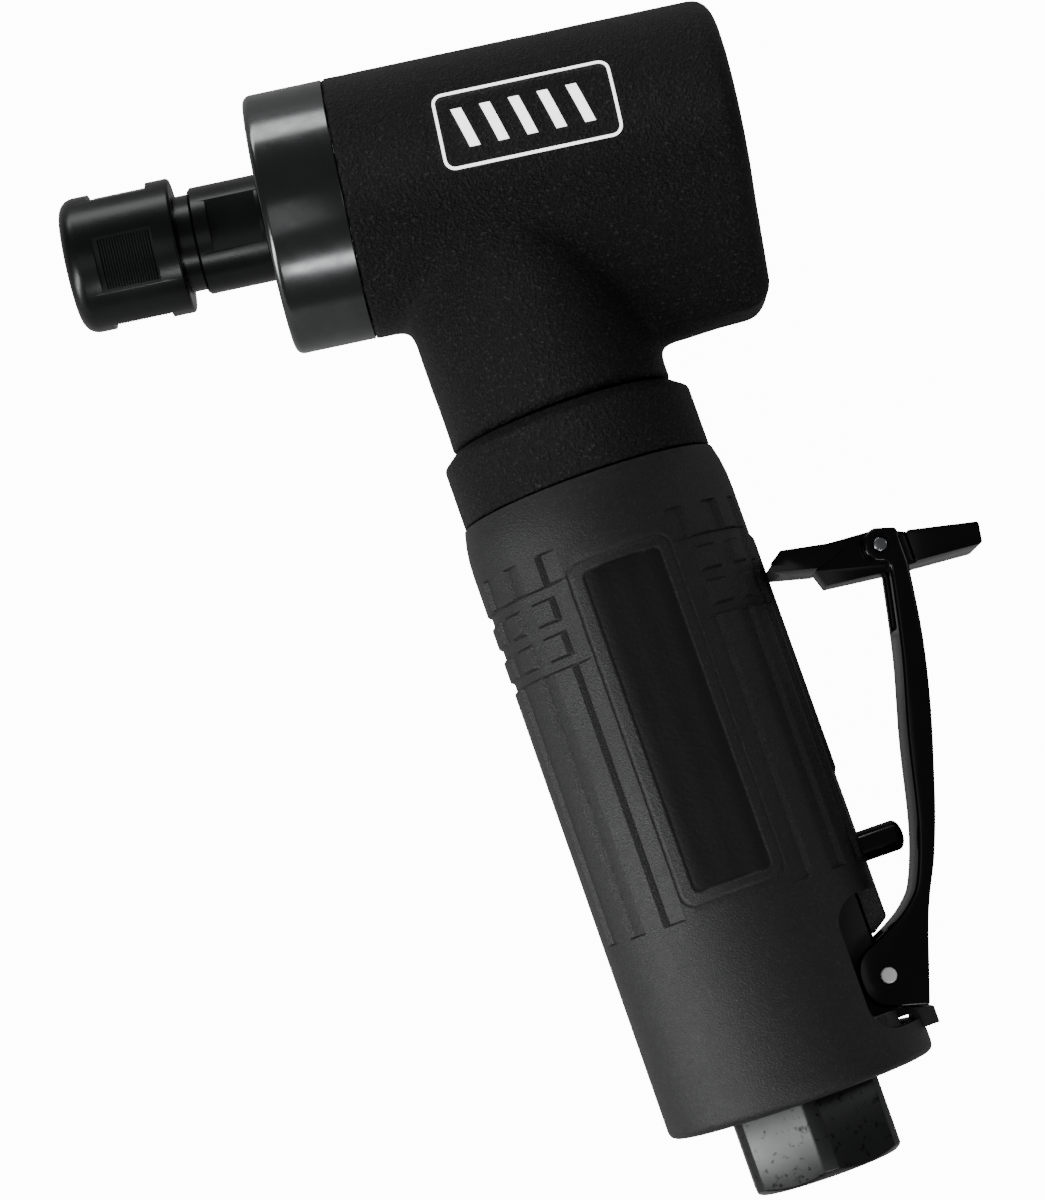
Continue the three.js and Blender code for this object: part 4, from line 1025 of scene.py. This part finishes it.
class GRINDER_OT_stage(bpy.types.Operator):
    """Sets the camera, the pale floor and the studio lights."""
    bl_idname = "grinder.stage"
    bl_label = "Stage"

    def execute(self, context):
        scene = context.scene
        camera = bpy.data.objects.new("Camera", bpy.data.cameras.new("Camera"))
        scene.collection.objects.link(camera)
        turn = spin(-19.238, "Z") @ spin(1.033) @ spin(5.585, "X")
        camera.matrix_world = Matrix.Translation(TOOL @ Vector((-21.379, 31.824, 480.004))) @ turn
        camera.data.lens = 101.35
        camera.data.sensor_width = 36
        camera.data.clip_start = 0.01
        scene.camera = camera
        floor = bpy.data.meshes.new("floor")
        half = 3.0
        floor.from_pydata([(-half, -half, 0), (half, -half, 0), (half, half, 0), (-half, half, 0)], [],
                          [(0, 1, 2, 3)])
        floor = new_object("floor", floor)
        pale = bpy.data.materials.new("Pale floor")
        pale.use_nodes = True
        bsdf = pale.node_tree.nodes["Principled BSDF"]
        colour = tuple(scene.grinder_looks.floor_colour)
        put(bsdf, Base_Color=(*colour, 1), Roughness=0.9, Emission_Color=(1, 1, 1, 1))
        seen = pale.node_tree.nodes.new("ShaderNodeLightPath")
        glow = pale.node_tree.nodes.new("ShaderNodeMapRange")
        put(glow, To_Min=0.07, To_Max=13.0)
        pale.node_tree.links.new(seen.outputs["Is Camera Ray"], glow.inputs["Value"])
        pale.node_tree.links.new(glow.outputs["Result"], bsdf.inputs["Emission Strength"])
        floor.data.materials.append(pale)
        world = bpy.data.worlds.new("Studio")
        world.use_nodes = True
        world.node_tree.nodes["Background"].inputs["Color"].default_value = (1, 1, 1, 1)
        world.node_tree.nodes["Background"].inputs["Strength"].default_value = 0.12
        scene.world = world
        for name, place, size, power in (
                ("Left softbox", (-430, -20, 200), (0.12, 0.36), 1.85),
                ("Right softbox", (430, 100, 200), (0.08, 0.5), 0.18),
                ("Top strip", (-60, 560, 110), (0.4, 0.14), 0.9),
                ("Head strip", (-40, -229, 277), (0.22, 0.05), 0.42),
                ("Key", (-150, 60, 620), (0.25, 0.25), 0.12)):
            light = bpy.data.lights.new(name, "AREA")
            light.shape = "RECTANGLE"
            light.size, light.size_y = size
            light.energy = power
            lamp = bpy.data.objects.new(name, light)
            scene.collection.objects.link(lamp)
            lamp.location = TOOL @ Vector(place)
            target = TOOL @ Vector((0, 70, 0))
            lamp.rotation_euler = (target - lamp.location).to_track_quat("-Z", "Y").to_euler()
        return {"FINISHED"}


# ------------------------------------------------------------ panel and registration

OPERATORS = (GRINDER_OT_stage, GRINDER_OT_insides, GRINDER_OT_grip, GRINDER_OT_head, GRINDER_OT_print,
             GRINDER_OT_nose, GRINDER_OT_nut, GRINDER_OT_handle, GRINDER_OT_lever, GRINDER_OT_lock)


class GRINDER_PT_panel(bpy.types.Panel):
    """Lists the grinder's settings and the steps that make it."""
    bl_idname = "GRINDER_PT_panel"
    bl_label = "Air Die Grinder"
    bl_space_type = "VIEW_3D"
    bl_region_type = "UI"
    bl_category = "Grinder"

    def draw(self, context):
        for settings in (context.scene.grinder_sizes, context.scene.grinder_looks):
            for name in settings.bl_rna.properties.keys():
                if name not in ("rna_type", "name"):
                    self.layout.prop(settings, name)
        for operator in OPERATORS:
            self.layout.operator(operator.bl_idname)


CLASSES = (GrinderSizes, GrinderLooks, *OPERATORS, GRINDER_PT_panel)


def register():
    for cls in CLASSES:
        bpy.utils.register_class(cls)
    bpy.types.Scene.grinder_sizes = bpy.props.PointerProperty(type=GrinderSizes)
    bpy.types.Scene.grinder_looks = bpy.props.PointerProperty(type=GrinderLooks)


def unregister():
    del bpy.types.Scene.grinder_looks
    del bpy.types.Scene.grinder_sizes
    for cls in reversed(CLASSES):
        bpy.utils.unregister_class(cls)


def main():
    register()
    for operator in OPERATORS:
        getattr(bpy.ops.grinder, operator.bl_idname.split(".")[1])()


if __name__ == "__main__":
    main()
